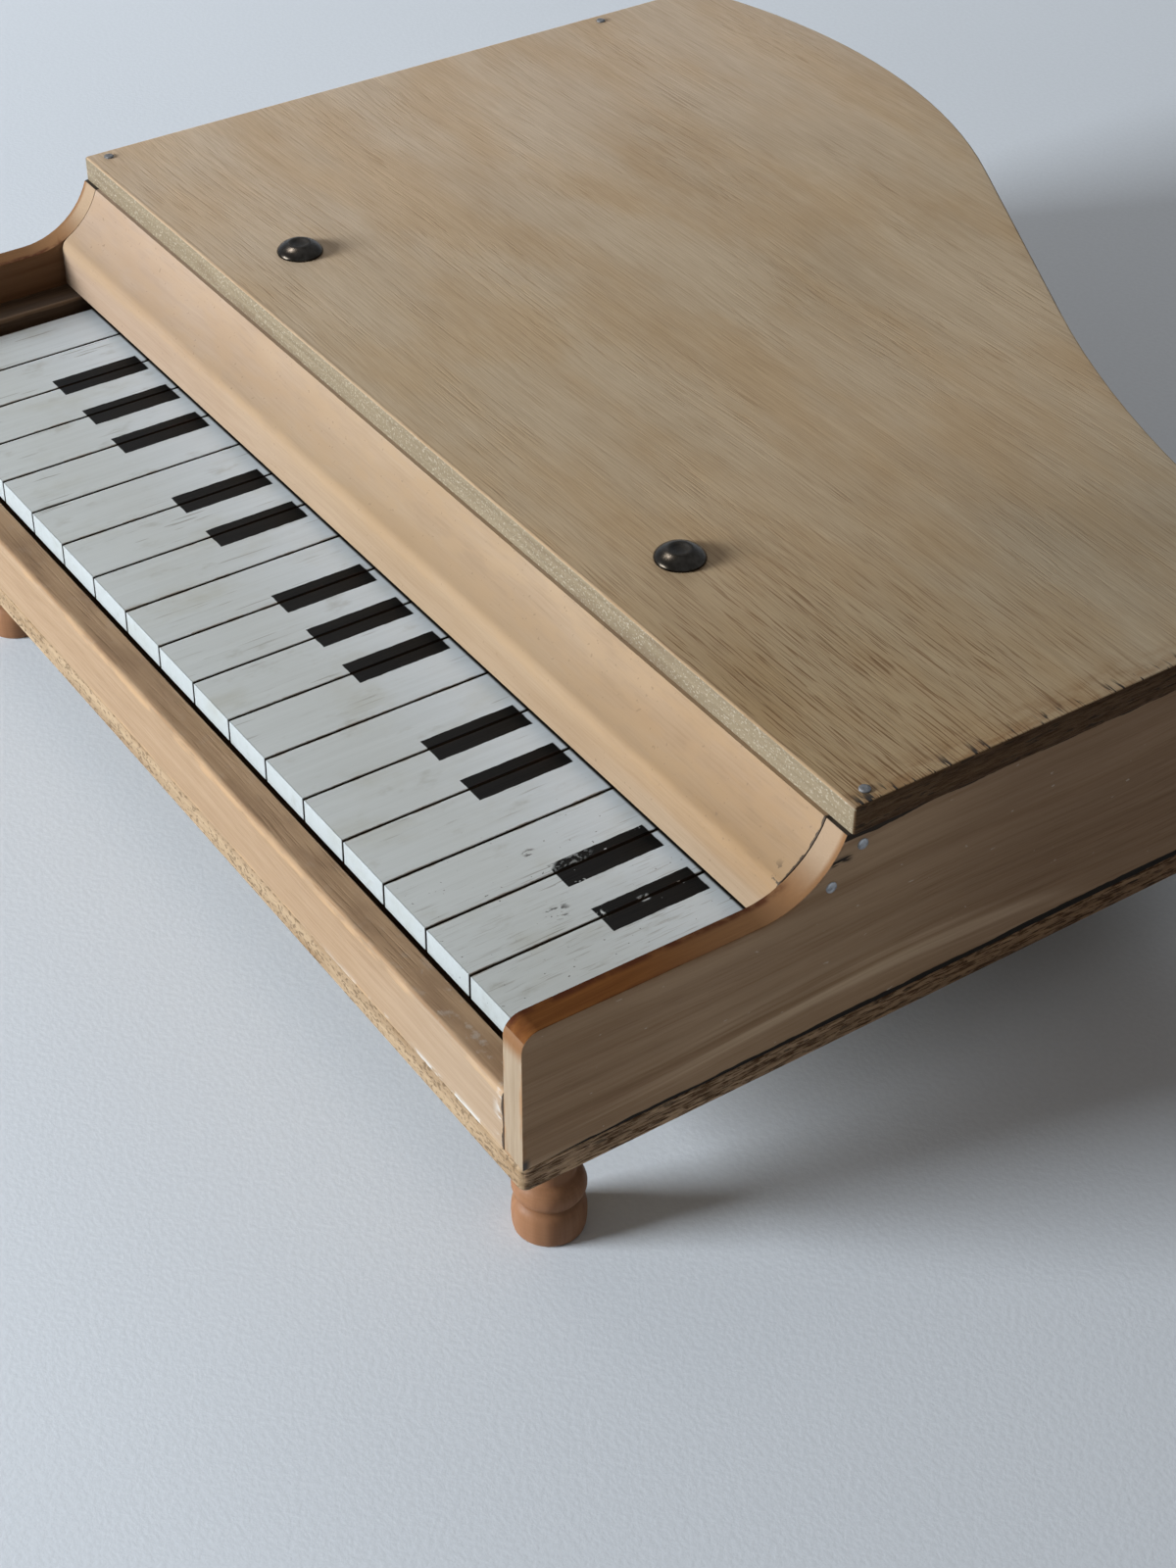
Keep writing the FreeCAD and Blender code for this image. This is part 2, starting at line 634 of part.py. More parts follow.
# Turned legs: a rounded foot, a notch, a bead and a neck, with a tenon into the board
BEAD_START = "foot_tall + notch_tall"
BEAD_END = "foot_tall + notch_tall + bead_tall"
TENON_END = "leg_height + board_thick - tenon_short"
for name, (across, back) in LEGS.items():
    leg = new_body(name, across, back, BOARD_TOP + " - board_thick - leg_height")
    profile = new_sketch(leg, "XZ_Plane")
    corners = [("0", "0"), ("foot_bottom", "0"), ("foot_top", "foot_tall"), ("notch_radius", BEAD_START),
               ("neck_radius", BEAD_END), ("neck_radius", "leg_height"), ("tenon_radius", "leg_height"),
               ("tenon_radius", TENON_END), ("0", TENON_END)]
    bends = {}
    for index, radius in ((1, "foot_round"), (3, "bead_round")):
        start, end = point(corners[index]), point(corners[index + 1])
        chord = end - start
        rise = math.sqrt(amount(radius) ** 2 - chord.Length ** 2 / 4)
        middle = (start + end) / 2 + FreeCAD.Vector(-chord.y, chord.x, 0).normalize() * rise
        bends[index] = ((middle.x, middle.y), 1, radius)
    closed_path(profile, corners, bends)
    nodes.append(turn(leg, profile))

# Nails through the lid into the sides, and through the sides into the fallboard
nodes.append(group("lid_nails", [nail(f"lid_nail_{name}", "-Z", *spot, "lid_above_key + lid_thick")
                                 for name, spot in NAIL_SPOTS.items()]))
side_nails = []
for number, spot in enumerate(SIDE_NAILS, start=1):
    side_nails.append(nail(f"side_nail_left_{number}", "+X", less(CASE_HALF), *spot))
    side_nails.append(nail(f"side_nail_right_{number}", "-X", CASE_HALF, *spot))
nodes.append(group("side_nails", side_nails))

# Keys and hammers, numbered from the bass
HEEL_LOW = "heel_gap - axle_above_tail"
for index in range(KEYS):
    left = f"key_pitch * {index - 9}" if index > 8 else f"-key_pitch * {9 - index}"
    key = new_body(f"key_{index + 1:02d}", left + " + key_gap * 0.5")
    profile = new_sketch(key, "YZ_Plane")
    closed_path(profile, [
        ("0", "-key_front_thick"), ("key_thin_length", "-key_front_thick"),
        ("key_thin_length + key_ramp", "-key_thick"), (KEY_LENGTH, "-key_thick"),
        (KEY_LENGTH, "-key_tail_drop"), (SHOULDER_END, "-key_tail_drop"),
        (SHOULDER_END + " - key_shoulder_ramp", "0"), ("0", "0")])
    ring(profile, ("pivot_back", "-pivot_below"), "pivot_radius + running_clearance")
    nodes.append(pad(key, profile, "key_pitch - key_gap"))
for index in range(KEYS):
    left = f"key_pitch * {index - 8.5}" if index > 8 else f"-key_pitch * {8.5 - index}"
    hammer = new_body(f"hammer_{index + 1:02d}", left + " - hammer_wide * 0.5", AXLE_BACK, AXLE_RISE)
    profile = new_sketch(hammer, "YZ_Plane")
    head_back = "-head_reach + head_long"
    head_sink = math.sqrt(SIZES["head_round"] ** 2 - SIZES["head_long"] ** 2 / 4)
    head_middle = (amount("-head_reach + head_long * 0.5"), amount("head_shoulder") - head_sink)
    closed_path(
        profile,
        [("0", "-hammer_boss"), ("0", SIZES["hammer_boss"]), (head_back, "shank_half"),
         (head_back, "head_shoulder"), ("-head_reach", "head_shoulder"),
         ("-head_reach", "-head_under"), (head_back, "-head_under"),
         (head_back, "-shank_half"), ("-heel_reach", "-shank_half"), ("-heel_reach", HEEL_LOW),
         ("-heel_reach + heel_long", HEEL_LOW), ("-heel_reach + heel_long", "-shank_half")],
        {0: (("0", "0"), 1, None), 3: (head_middle, 1, "head_round")})
    ring(profile, ("0", "0"), "axle_radius + running_clearance")
    nodes.append(pad(hammer, profile, "hammer_wide"))

doc.recompute()
for item in doc.Objects:
    if "Invalid" in item.State or "Error" in item.State:
        raise RuntimeError(f"{item.Label} did not build: {item.State}")
for node in nodes:
    if node.Shape.isNull() or not node.Shape.isValid():
        raise RuntimeError(f"{node.Label} has no valid shape")

os.makedirs("parts", exist_ok=True)
for node in nodes:
    node.Shape.exportStep(f"parts/{node.Label}.step")
    extent = node.Shape.BoundBox
    print(f"{node.Label}: {len(node.Shape.Solids)} solid, {node.Shape.Volume:.1f} cubic mm,"
          f" z {extent.ZMin:.2f} to {extent.ZMax:.2f}")
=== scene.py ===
import math

import bmesh
import bpy
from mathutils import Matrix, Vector


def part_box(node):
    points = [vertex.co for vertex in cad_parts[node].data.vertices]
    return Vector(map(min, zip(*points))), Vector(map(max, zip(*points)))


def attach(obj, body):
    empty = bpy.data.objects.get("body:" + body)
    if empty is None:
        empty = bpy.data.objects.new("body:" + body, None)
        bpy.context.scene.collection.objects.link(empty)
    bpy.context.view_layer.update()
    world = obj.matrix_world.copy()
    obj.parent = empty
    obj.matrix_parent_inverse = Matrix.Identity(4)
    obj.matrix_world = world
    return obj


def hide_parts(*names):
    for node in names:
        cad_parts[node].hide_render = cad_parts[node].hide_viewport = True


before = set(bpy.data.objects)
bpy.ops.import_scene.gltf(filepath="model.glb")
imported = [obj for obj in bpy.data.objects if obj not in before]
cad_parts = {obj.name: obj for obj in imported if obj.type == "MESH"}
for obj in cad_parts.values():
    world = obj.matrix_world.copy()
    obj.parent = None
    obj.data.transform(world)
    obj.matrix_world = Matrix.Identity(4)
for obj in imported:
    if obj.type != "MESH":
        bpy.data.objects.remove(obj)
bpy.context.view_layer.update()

# Toy grand piano in aged, nailed wood: plywood lid and board, coved arms and fallboard, white keys
# with painted sharps, turned legs. Metres, in the frame of the solids: keys toward -Y, treble +X.
MM = 0.001
LID_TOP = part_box("lid")[1].z
LID_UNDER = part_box("lid")[0].z
LID_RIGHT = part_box("lid")[1].x
LID_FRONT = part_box("lid")[0].y
BOARD_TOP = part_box("bottom_board")[1].z
BOARD_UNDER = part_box("bottom_board")[0].z
CASE_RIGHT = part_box("right_side")[1].x
CASE_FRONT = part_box("front_rail")[0].y
RAIL_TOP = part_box("front_rail")[1].z
RAIL_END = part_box("front_rail")[1].x  # also the inner face of the right arm
FALLBOARD_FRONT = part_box("fallboard")[0].y
FALLBOARD_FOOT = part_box("fallboard")[0].z
KEY_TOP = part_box("key_01")[1].z
KEY_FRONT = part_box("key_01")[0].y
NEAR_FRONT = CASE_FRONT + 3 * MM  # the arms' front ends and the rail's front lie before this
WELD = 4e-3 * MM      # corners of the solids' triangles that are one corner
LONG_RUN = 200 * MM   # only edges along the keyboard are longer
WIDEST_HOLE = 8 * MM  # for nails, screws and rods
# Black for dirt in the joints and for the painted shadow under the lid
BLACK_DIRT_AND_SHADE = (0.012, 0.009, 0.007)


# Bench work: copies of the solids, softened edges, turning

def merged_copy(node):
    """A copy of a solid with its triangles joined, its nail holes closed and its flats whole."""
    bm = bmesh.new()
    bm.from_mesh(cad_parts[node].data)
    bmesh.ops.remove_doubles(bm, verts=bm.verts, dist=WELD)
    close_holes(bm)
    bmesh.ops.dissolve_limit(bm, angle_limit=math.radians(0.4), verts=bm.verts, edges=bm.edges)
    return bm


def groups(items, beside):
    """Split items into groups that hang together; beside(item) gives an item's neighbours."""
    waiting = set(items)
    found = []
    for first in items:
        if first not in waiting:
            continue
        waiting.remove(first)
        group = []
        queue = [first]
        while queue:
            item = queue.pop()
            group.append(item)
            for other in beside(item):
                if other in waiting:
                    waiting.remove(other)
                    queue.append(other)
        found.append(group)
    return found


def smooth_neighbours(face):
    """The faces that a face runs into without a sharp edge."""
    return [other for edge in face.edges
            if len(edge.link_faces) == 2 and edge.calc_face_angle() <= math.radians(30)
            for other in edge.link_faces]


def spans(verts):
    """How far a group of corners reaches along X, Y and Z."""
    places = [[vert.co[axis] for vert in verts] for axis in range(3)]
    return [(min(along_axis), max(along_axis)) for along_axis in places]


def close_holes(bm):
    """Take out the round walls of drilled holes, and their bottoms, and close the surface."""
    bm.normal_update()
    patches = groups(bm.faces, smooth_neighbours)
    walls = set()
    for patch in patches:
        facing = sum((face.normal * face.calc_area() for face in patch), Vector())
        area = sum(face.calc_area() for face in patch)
        reach = spans([vert for face in patch for vert in face.verts])
        bore = sorted(high - low for low, high in reach)[1]
        if bore < WIDEST_HOLE and facing.length < 0.02 * area:
            walls.update(patch)
    if not walls:
        return
    drilled = set(walls)
    for patch in patches:
        inside = set(patch)
        near = {other for face in patch for edge in face.edges for other in edge.link_faces}
        near -= inside
        if near and near <= walls:
            drilled |= inside
    bmesh.ops.delete(bm, geom=list(drilled), context="FACES")
    bmesh.ops.holes_fill(bm, edges=[edge for edge in bm.edges if edge.is_boundary], sides=0)


def sharp_edges(bm, degrees=25):
    return [edge for edge in bm.edges
            if len(edge.link_faces) == 2 and edge.calc_face_angle() > math.radians(degrees)]


def lengthwise(edges):
    """Those edges that run along the keyboard."""
    return [edge for edge in edges if abs(edge.verts[0].co.x - edge.verts[1].co.x) > LONG_RUN]


def sort_sheet(bm):
    """Faces of a plywood sheet: 0 its flats, 1 its front edge, 2 its other edges."""
    for face in bm.faces:
        level = abs(face.normal.z) > 0.7
        face.material_index = 0 if level else 1 if face.normal.y < -0.7 else 2


def soften(bm, edges, width, segments=3):
    bmesh.ops.bevel(bm, geom=list(edges), offset=width, offset_type="OFFSET", segments=segments,
                    profile=0.5, affect="EDGES", clamp_overlap=True, material=-1)
    bmesh.ops.remove_doubles(bm, verts=bm.verts, dist=0.002 * MM)
    bm.normal_update()


def mark_wear(bm, margin, least_area):
    """Ring each large flat with a narrow margin: its rim is handled, its middle is not."""
    worn = bm.verts.layers.float.new("worn")
    for vert in bm.verts:
        vert[worn] = 1.0
    flats = [face for face in bm.faces if face.calc_area() > least_area
             and 2 * face.calc_area() / face.calc_perimeter() > 2.6 * margin]
    bmesh.ops.inset_individual(bm, faces=flats, thickness=margin, use_even_offset=True)
    for face in flats:
        for vert in face.verts:
            vert[worn] = 0.0


def turned(profile, steps):
    """Turn a profile of (radius, height) in mm round the Z axis, and close its open end."""
    bm = bmesh.new()
    verts = [bm.verts.new((radius * MM, 0, height * MM)) for radius, height in profile]
    edges = [bm.edges.new(pair) for pair in zip(verts, verts[1:])]
    bmesh.ops.spin(bm, geom=verts + edges, cent=(0, 0, 0), axis=(0, 0, 1), angle=2 * math.pi,
                   steps=steps, use_merge=True)
    bmesh.ops.remove_doubles(bm, verts=bm.verts, dist=0.001 * MM)
    bmesh.ops.holes_fill(bm, edges=[edge for edge in bm.edges if edge.is_boundary], sides=0)
    bmesh.ops.recalc_face_normals(bm, faces=bm.faces)
    return bm


def add_to(whole, bm):
    """Put one mesh into a larger one."""
    mesh = bpy.data.meshes.new("share")
    bm.to_mesh(mesh)
    bm.free()
    whole.from_mesh(mesh)
    bpy.data.meshes.remove(mesh)


def piece(bm, name, finishes, body="case", stands_for=(), even=True):
    """Make the mesh an object of the piano, riding on its body."""
    mesh = bpy.data.meshes.new(name)
    for face in bm.faces:
        face.smooth = True
    for edge in sharp_edges(bm, 50):
        edge.smooth = False
    bm.to_mesh(mesh)
    bm.free()
    made = bpy.data.objects.new(name, mesh)
    bpy.context.scene.collection.objects.link(made)
    for finish in finishes:
        mesh.materials.append(finish)
    if even:
        flow = made.modifiers.new("even_shading", "WEIGHTED_NORMAL")
        flow.keep_sharp = True
        flow.weight = 80
    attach(made, body)
    if stands_for:
        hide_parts(*stands_for)


# Finishes

class Finish:
    """One material, built up in layers like a worked surface."""

    def __init__(self, name, **sockets):
        self.material = bpy.data.materials.new(name)
        self.material.use_nodes = True
        self.tree = self.material.node_tree
        self.shader = self.tree.nodes["Principled BSDF"]
        for socket, value in sockets.items():
            self.shader.inputs[socket.replace("_", " ")].default_value = value
        self.where = self.add("ShaderNodeTexCoord").outputs["Object"]

    def add(self, kind, **settings):
        node = self.tree.nodes.new(kind)
        for key, value in settings.items():
            setattr(node, key, value)
        return node

    def feed(self, socket, value):
        if isinstance(value, bpy.types.NodeSocket):
            self.tree.links.new(value, socket)
        else:
            socket.default_value = value

    def waver(self, scale, reach):
        """The place on the piece, pushed about a little by a slow noise."""
        noise = self.add("ShaderNodeTexNoise")
        noise.inputs["Scale"].default_value = scale
        noise.inputs["Detail"].default_value = 1.0
        self.feed(noise.inputs["Vector"], self.where)
        push = self.add("ShaderNodeVectorMath", operation="MULTIPLY_ADD")
        self.feed(push.inputs[0], noise.outputs["Color"])
        push.inputs[1].default_value = (reach, reach, reach)
        self.feed(push.inputs[2], self.where)
        return push.outputs["Vector"]

    def cloud(self, stretch, low, high, detail=3.0, rough=0.55, shift=(0, 0, 0), where=None):
        """A noise stretched per axis, spread from 0 to 1 between two levels."""
        mapping = self.add("ShaderNodeMapping")
        self.feed(mapping.inputs["Vector"], where or self.where)
        mapping.inputs["Scale"].default_value = stretch
        mapping.inputs["Location"].default_value = shift
        noise = self.add("ShaderNodeTexNoise")
        noise.inputs["Scale"].default_value = 1.0
        noise.inputs["Detail"].default_value = detail
        noise.inputs["Roughness"].default_value = rough
        self.feed(noise.inputs["Vector"], mapping.outputs["Vector"])
        return self.spread(noise.outputs["Fac"], low, high)

    def spread(self, value, low, high, start=0.0, end=1.0, smooth=True):
        ramp = self.add("ShaderNodeMapRange", clamp=True,
                        interpolation_type="SMOOTHSTEP" if smooth else "LINEAR")
        self.feed(ramp.inputs["Value"], value)
        levels = {"From Min": low, "From Max": high, "To Min": start, "To Max": end}
        for socket, level in levels.items():
            ramp.inputs[socket].default_value = level
        return ramp.outputs["Result"]

    def axes(self):
        split = self.add("ShaderNodeSeparateXYZ")
        self.feed(split.inputs[0], self.where)
        return split.outputs

    def calc(self, operation, first, second=0.0):
        node = self.add("ShaderNodeMath", operation=operation, use_clamp=operation == "ADD")
        self.feed(node.inputs[0], first)
        self.feed(node.inputs[1], second)
        return node.outputs[0]

    def both(self, first, second):
        return self.calc("MULTIPLY", first, second)

    def either(self, first, second):
        return self.calc("MAXIMUM", first, second)

    def less(self, first, second):
        return self.calc("SUBTRACT", first, second)

    def plus(self, first, second):
        """A sum that stays between 0 and 1."""
        return self.calc("ADD", first, second)

    def size(self, value):
        return self.calc("ABSOLUTE", value)

    def within(self, value, start, end, soft):
        """1 between two places along an axis, with soft ends."""
        return self.both(self.spread(value, start - soft, start + soft),
                         self.spread(value, end - soft, end + soft, 1.0, 0.0))

    def spot(self, first, first_span, second, second_span):
        """1 in a small field of two axes; each span is (start, end, softness)."""
        return self.both(self.within(first, *first_span), self.within(second, *second_span))

    def ragged(self, stretch, start, end):
        """A small uneven push, for the edge of a crack or a line of dirt."""
        return self.spread(self.cloud(stretch, 0.3, 0.7, 3.0), 0.0, 1.0, start, end, False)

    def over(self, below, above, mask, amount=None, kind="MIX"):
        """Lay one colour over another where the mask says, at most by the amount."""
        if amount is not None:
            mask = self.both(mask, amount)
        node = self.add("ShaderNodeMix", data_type="RGBA", blend_type=kind)
        self.feed(node.inputs[0], mask)
        for socket, colour in ((node.inputs[6], below), (node.inputs[7], above)):
            if isinstance(colour, tuple):
                socket.default_value = (*colour, 1.0)
            else:
                self.feed(socket, colour)
        return node.outputs[2]

    def stain(self, below, tint, mask, amount=None):
        """Multiply a colour by a tint where the mask says."""
        return self.over(below, tint, mask, amount, "MULTIPLY")

    def worn(self, low, high, grain):
        """The handled rims of the piece, broken up by a noise."""
        rim = self.add("ShaderNodeAttribute", attribute_name="worn", attribute_type="GEOMETRY")
        return self.spread(self.both(rim.outputs["Fac"], grain), low, high)

    def relief(self, height, strength, depth):
        bump = self.add("ShaderNodeBump")
        bump.inputs["Strength"].default_value = strength
        bump.inputs["Distance"].default_value = depth
        self.feed(bump.inputs["Height"], height)
        self.tree.links.new(bump.outputs["Normal"], self.shader.inputs["Normal"])

    def colour(self, value):
        self.feed(self.shader.inputs["Base Color"], value)

    def gloss(self, value):
        self.feed(self.shader.inputs["Roughness"], value)


def along(axis, run, across):
    """A stretch for grain that runs along one axis."""
    return tuple(run if name == axis else across for name in "XYZ")


def wood(name, pale, deep, axis, band, lines=0.5, line_tint=(0.55, 0.45, 0.36), fibres=1.0,
         worn_tint=None, rough=(0.55, 0.7), sheen=0.12, dirt=0.35, relief=0.25):
    """Bare wood: slow bands, fibres, short dark pores in lines, a little dirt and handled rims."""
    made = Finish(name, Specular_IOR_Level=sheen)
    bent = made.waver(11.0, 0.006)
    bands = made.cloud(along(axis, 5.0, band), 0.32, 0.68, 3.0, where=bent)
    figure = made.cloud(along(axis, 18.0, band * 8), 0.3, 0.72, 3.0, where=bent)
    fibre = made.cloud(along(axis, 70.0, 2100.0), 0.3, 0.72, 2.0, 0.7, where=bent)
    patch = made.cloud(along(axis, 16.0, 60.0), 0.38, 0.64, 3.0, shift=(3.0, 1.0, 7.0))
    pore = made.cloud(along(axis, 75.0, 2300.0), 0.565, 0.65, 1.0, shift=(9.0, 4.0, 2.0),
                      where=bent)
    pore = made.both(pore, made.spread(patch, 0.0, 1.0, 0.2, 1.0))
    smear = made.cloud((24.0, 24.0, 24.0), 0.45, 0.75, 4.0, shift=(5.0, 5.0, 1.0))
    ground = made.over(deep, pale, made.plus(made.both(bands, 0.5), made.both(figure, 0.5)))
    ground = made.stain(ground, (0.80, 0.77, 0.73), fibre, fibres)
    ground = made.stain(ground, line_tint, pore, lines)
    ground = made.stain(ground, (0.76, 0.72, 0.66), smear, dirt)
    if worn_tint:
        grain = made.cloud(along(axis, 120.0, 420.0), 0.2, 0.8, 3.0, shift=(2.0, 6.0, 4.0))
        ground = made.over(ground, worn_tint, made.worn(0.25, 0.8, grain))
    made.ground = ground
    made.colour(ground)
    made.gloss(made.spread(made.plus(made.both(fibre, 0.5), made.both(smear, 0.5)),
                           0.0, 1.0, *rough))
    made.relief(made.less(made.both(fibre, 0.4), pore), relief, 0.12 * MM)
    return made


def lid_veneer():
    """Khaki plywood: fine pores along the keyboard, golden front right, torn right edge."""
    made = wood("lid_veneer", (0.552, 0.439, 0.306), (0.477, 0.369, 0.250), "X", 30.0, lines=0.28,
                line_tint=(0.56, 0.44, 0.32), fibres=0.6, rough=(0.5, 0.62), sheen=0.14, dirt=0.3)
    x, y, _ = made.axes()
    mottle = made.cloud((26.0, 60.0, 60.0), 0.35, 0.7, 5.0, shift=(1.0, 8.0, 3.0))
    ground = made.stain(made.ground, (0.95, 0.88, 0.78), mottle)
    # Painted sheen and shade: the lid is paler and bluer toward the left, darker toward the right.
    ground = made.stain(ground, (1.20, 1.22, 1.33), made.spread(x, 0.0, -0.13))
    ground = made.stain(ground, (0.78, 0.82, 0.86), made.spread(x, 0.05, 0.11))
    near = made.both(made.spread(x, 0.02, 0.125), made.spread(y, 0.04, -0.04))
    ground = made.stain(ground, (1.0, 0.90, 0.74), near)
    dashes = made.cloud((85.0, 2900.0, 60.0), 0.555, 0.64, 1.5, shift=(7.0, 3.0, 1.0))
    dashes = made.both(dashes, made.spread(near, 0.0, 1.0, 0.15, 0.75))
    ground = made.stain(ground, (0.42, 0.28, 0.18), dashes)
    torn = made.cloud((420.0, 160.0, 60.0), 0.35, 0.7, 3.0)
    browned = made.both(made.spread(x, LID_RIGHT - 10.5 * MM, LID_RIGHT), torn)
    ground = made.stain(ground, (0.62, 0.48, 0.36), browned, 0.8)
    nicks = made.cloud((120.0, 1000.0, 60.0), 0.59, 0.62, 2.0, shift=(4.0, 4.0, 9.0))
    nicks = made.both(nicks, made.spread(x, LID_RIGHT - 4.5 * MM, LID_RIGHT - 0.8 * MM))
    ground = made.over(ground, (0.020, 0.014, 0.010), nicks)
    arris = made.spread(y, LID_FRONT, LID_FRONT + 1.4 * MM, 1.0, 0.0)
    ground = made.over(ground, (0.26, 0.175, 0.10), arris, 0.7)
    made.colour(ground)
    return made.material


def ply_front_edge():
    """The lid's sawn front edge: khaki core with glinting fibre ends."""
    made = Finish("ply_front_edge", Specular_IOR_Level=0.3)
    speck = made.cloud((1700.0, 1700.0, 2300.0), 0.56, 0.68, 2.0)
    layer = made.cloud((20.0, 20.0, 900.0), 0.3, 0.7, 2.0)
    stain = made.cloud((55.0, 55.0, 220.0), 0.5, 0.72, 4.0, shift=(2.0, 2.0, 5.0))
    ground = made.over((0.148, 0.114, 0.070), (0.193, 0.153, 0.098), layer)
    ground = made.over(ground, (0.33, 0.29, 0.225), speck, 0.7)
    ground = made.over(ground, (0.10, 0.062, 0.034), stain, 0.45)
    made.colour(ground)
    made.gloss(made.spread(speck, 0.0, 1.0, 0.62, 0.4))
    made.relief(made.plus(speck, layer), 0.4, 0.15 * MM)
    return made.material


def board_front_edge():
    """The board's front edge: pale tan, pitted where the saw tore the end grain."""
    made = Finish("board_front_edge", Specular_IOR_Level=0.15)
    layer = made.cloud((20.0, 20.0, 700.0), 0.3, 0.7, 3.0)
    pit = made.cloud((900.0, 900.0, 1500.0), 0.54, 0.64, 3.0, shift=(3.0, 1.0, 2.0))
    stain = made.cloud((45.0, 45.0, 200.0), 0.45, 0.75, 4.0)
    ground = made.over((0.235, 0.162, 0.096), (0.315, 0.228, 0.142), layer)
    ground = made.stain(ground, (0.72, 0.64, 0.54), stain)
    ground = made.over(ground, (0.075, 0.047, 0.026), pit, 0.6)
    made.colour(ground)
    made.gloss(made.spread(pit, 0.0, 1.0, 0.6, 0.8))
    made.relief(made.less(layer, pit), 0.6, 0.25 * MM)
    return made.material


def ply_dark_edge(name, pale, deep, tear, blur):
    """Rough sawn plywood edge, brown, with torn fibres lying along it and black nicks."""
    made = Finish(name, Specular_IOR_Level=0.12)
    layer = made.cloud((16.0, 16.0, 800.0), 0.3, 0.7, 3.0, where=made.waver(60.0, 0.0008))
    torn = made.cloud((260.0, 260.0, 2200.0), 0.535 - blur, 0.535 + blur, 4.0, 0.65)
    nick = made.cloud((220.0, 220.0, 1300.0), 0.61, 0.67, 2.0, shift=(7.0, 1.0, 3.0))
    ground = made.over(deep, pale, layer)
    ground = made.stain(ground, tear, torn)
    ground = made.over(ground, (0.025, 0.018, 0.013), nick, 0.7)
    # Painted shade: the sawn edges are darker toward the waist.
    ground = made.stain(ground, (0.72, 0.66, 0.60), made.spread(made.axes()[1], -0.09, -0.02))
    made.colour(ground)
    made.gloss(made.spread(torn, 0.0, 1.0, 0.55, 0.8))
    made.relief(made.less(layer, made.plus(torn, nick)), 0.7, 0.3 * MM)
    return made.material


def side_face():
    """Flats of the sides: brown with long soft streaks, black dirt in the board joint, painted
    shade under the lid, at the ends and toward the keys.
    """
    made = wood("side_face", (0.435, 0.290, 0.173), (0.345, 0.224, 0.131), "Y", 45.0, lines=0.25,
                fibres=0.5, worn_tint=(0.34, 0.20, 0.105), dirt=0.4)
    x, y, z = made.axes()
    slow = made.waver(9.0, 0.012)
    # A belt of paler figure arches along the lower half
    away = made.less(y, -0.060)
    arch = made.plus(z, made.both(made.both(away, away), 3.0))
    belt = made.within(arch, 0.0295, 0.0362, 0.0028)
    streak = made.cloud((60.0, 6.0, 330.0), 0.36, 0.66, 4.0, shift=(6.0, 1.0, 3.0), where=slow)
    streak = made.both(streak, made.spread(belt, 0.0, 1.0, 0.16, 0.9))
    ground = made.over(made.ground, (0.70, 0.52, 0.345), streak)
    shade = made.cloud((40.0, 5.0, 260.0), 0.48, 0.72, 4.0, shift=(4.0, 6.0, 1.0), where=slow)
    ground = made.stain(ground, (0.62, 0.54, 0.46), shade, 0.6)
    # Painted shade: the sides are darker toward the front and toward the waist.
    ground = made.stain(ground, (0.88, 0.85, 0.82), made.spread(y, -0.085, -0.115))
    ground = made.stain(ground, (0.80, 0.77, 0.77), made.spread(y, -0.055, -0.015))
    fleck = made.cloud((500.0, 330.0, 900.0), 0.725, 0.75, 2.0, shift=(2.0, 9.0, 4.0))
    ground = made.over(ground, (0.60, 0.52, 0.42), fleck, 0.6)
    ragged = made.ragged((300.0, 110.0, 300.0), 0.0, 0.45 * MM)
    # The joint on the board opens toward the waist
    low = made.less(z, made.spread(y, -0.118, -0.010, 0.08 * MM, 1.1 * MM, False))
    joint = made.spread(made.less(low, ragged), BOARD_TOP, BOARD_TOP + 0.25 * MM, 1.0, 0.0)
    ground = made.over(ground, BLACK_DIRT_AND_SHADE, made.both(joint, made.spread(y, -0.1215, -0.112)))
    # Painted shadow under the lid, thickest at the front
    high = made.plus(z, made.spread(y, -0.054, -0.038, 1.35 * MM, 0.5 * MM, False))
    under_lid = made.spread(made.plus(high, ragged), LID_UNDER - 0.05 * MM, LID_UNDER + 0.15 * MM)
    ground = made.over(ground, BLACK_DIRT_AND_SHADE, under_lid, 0.95)
    splinter = made.cloud((300.0, 260.0, 1700.0), 0.40, 0.52, 2.0, shift=(1.0, 3.0, 8.0))
    gouge = made.spot(y, (-0.0622, -0.0580, 0.0009), z, (0.0594, 0.0608, 0.0005))
    ground = made.over(ground, (0.010, 0.008, 0.007), made.both(gouge, splinter))
    # Painted shade on the faces toward the keys
    inward = made.spread(made.size(x), RAIL_END + 1.5 * MM, RAIL_END + 0.5 * MM)
    ground = made.stain(ground, (0.40, 0.32, 0.27), inward)
    dab = made.both(made.spread(y, CASE_FRONT + 1.8 * MM, CASE_FRONT + 0.6 * MM),
                    made.spread(z, BOARD_TOP + 2.9 * MM, BOARD_TOP + 1.3 * MM))
    ground = made.over(ground, (0.05, 0.05, 0.05), dab, 0.85)
    made.colour(ground)
    return made.material


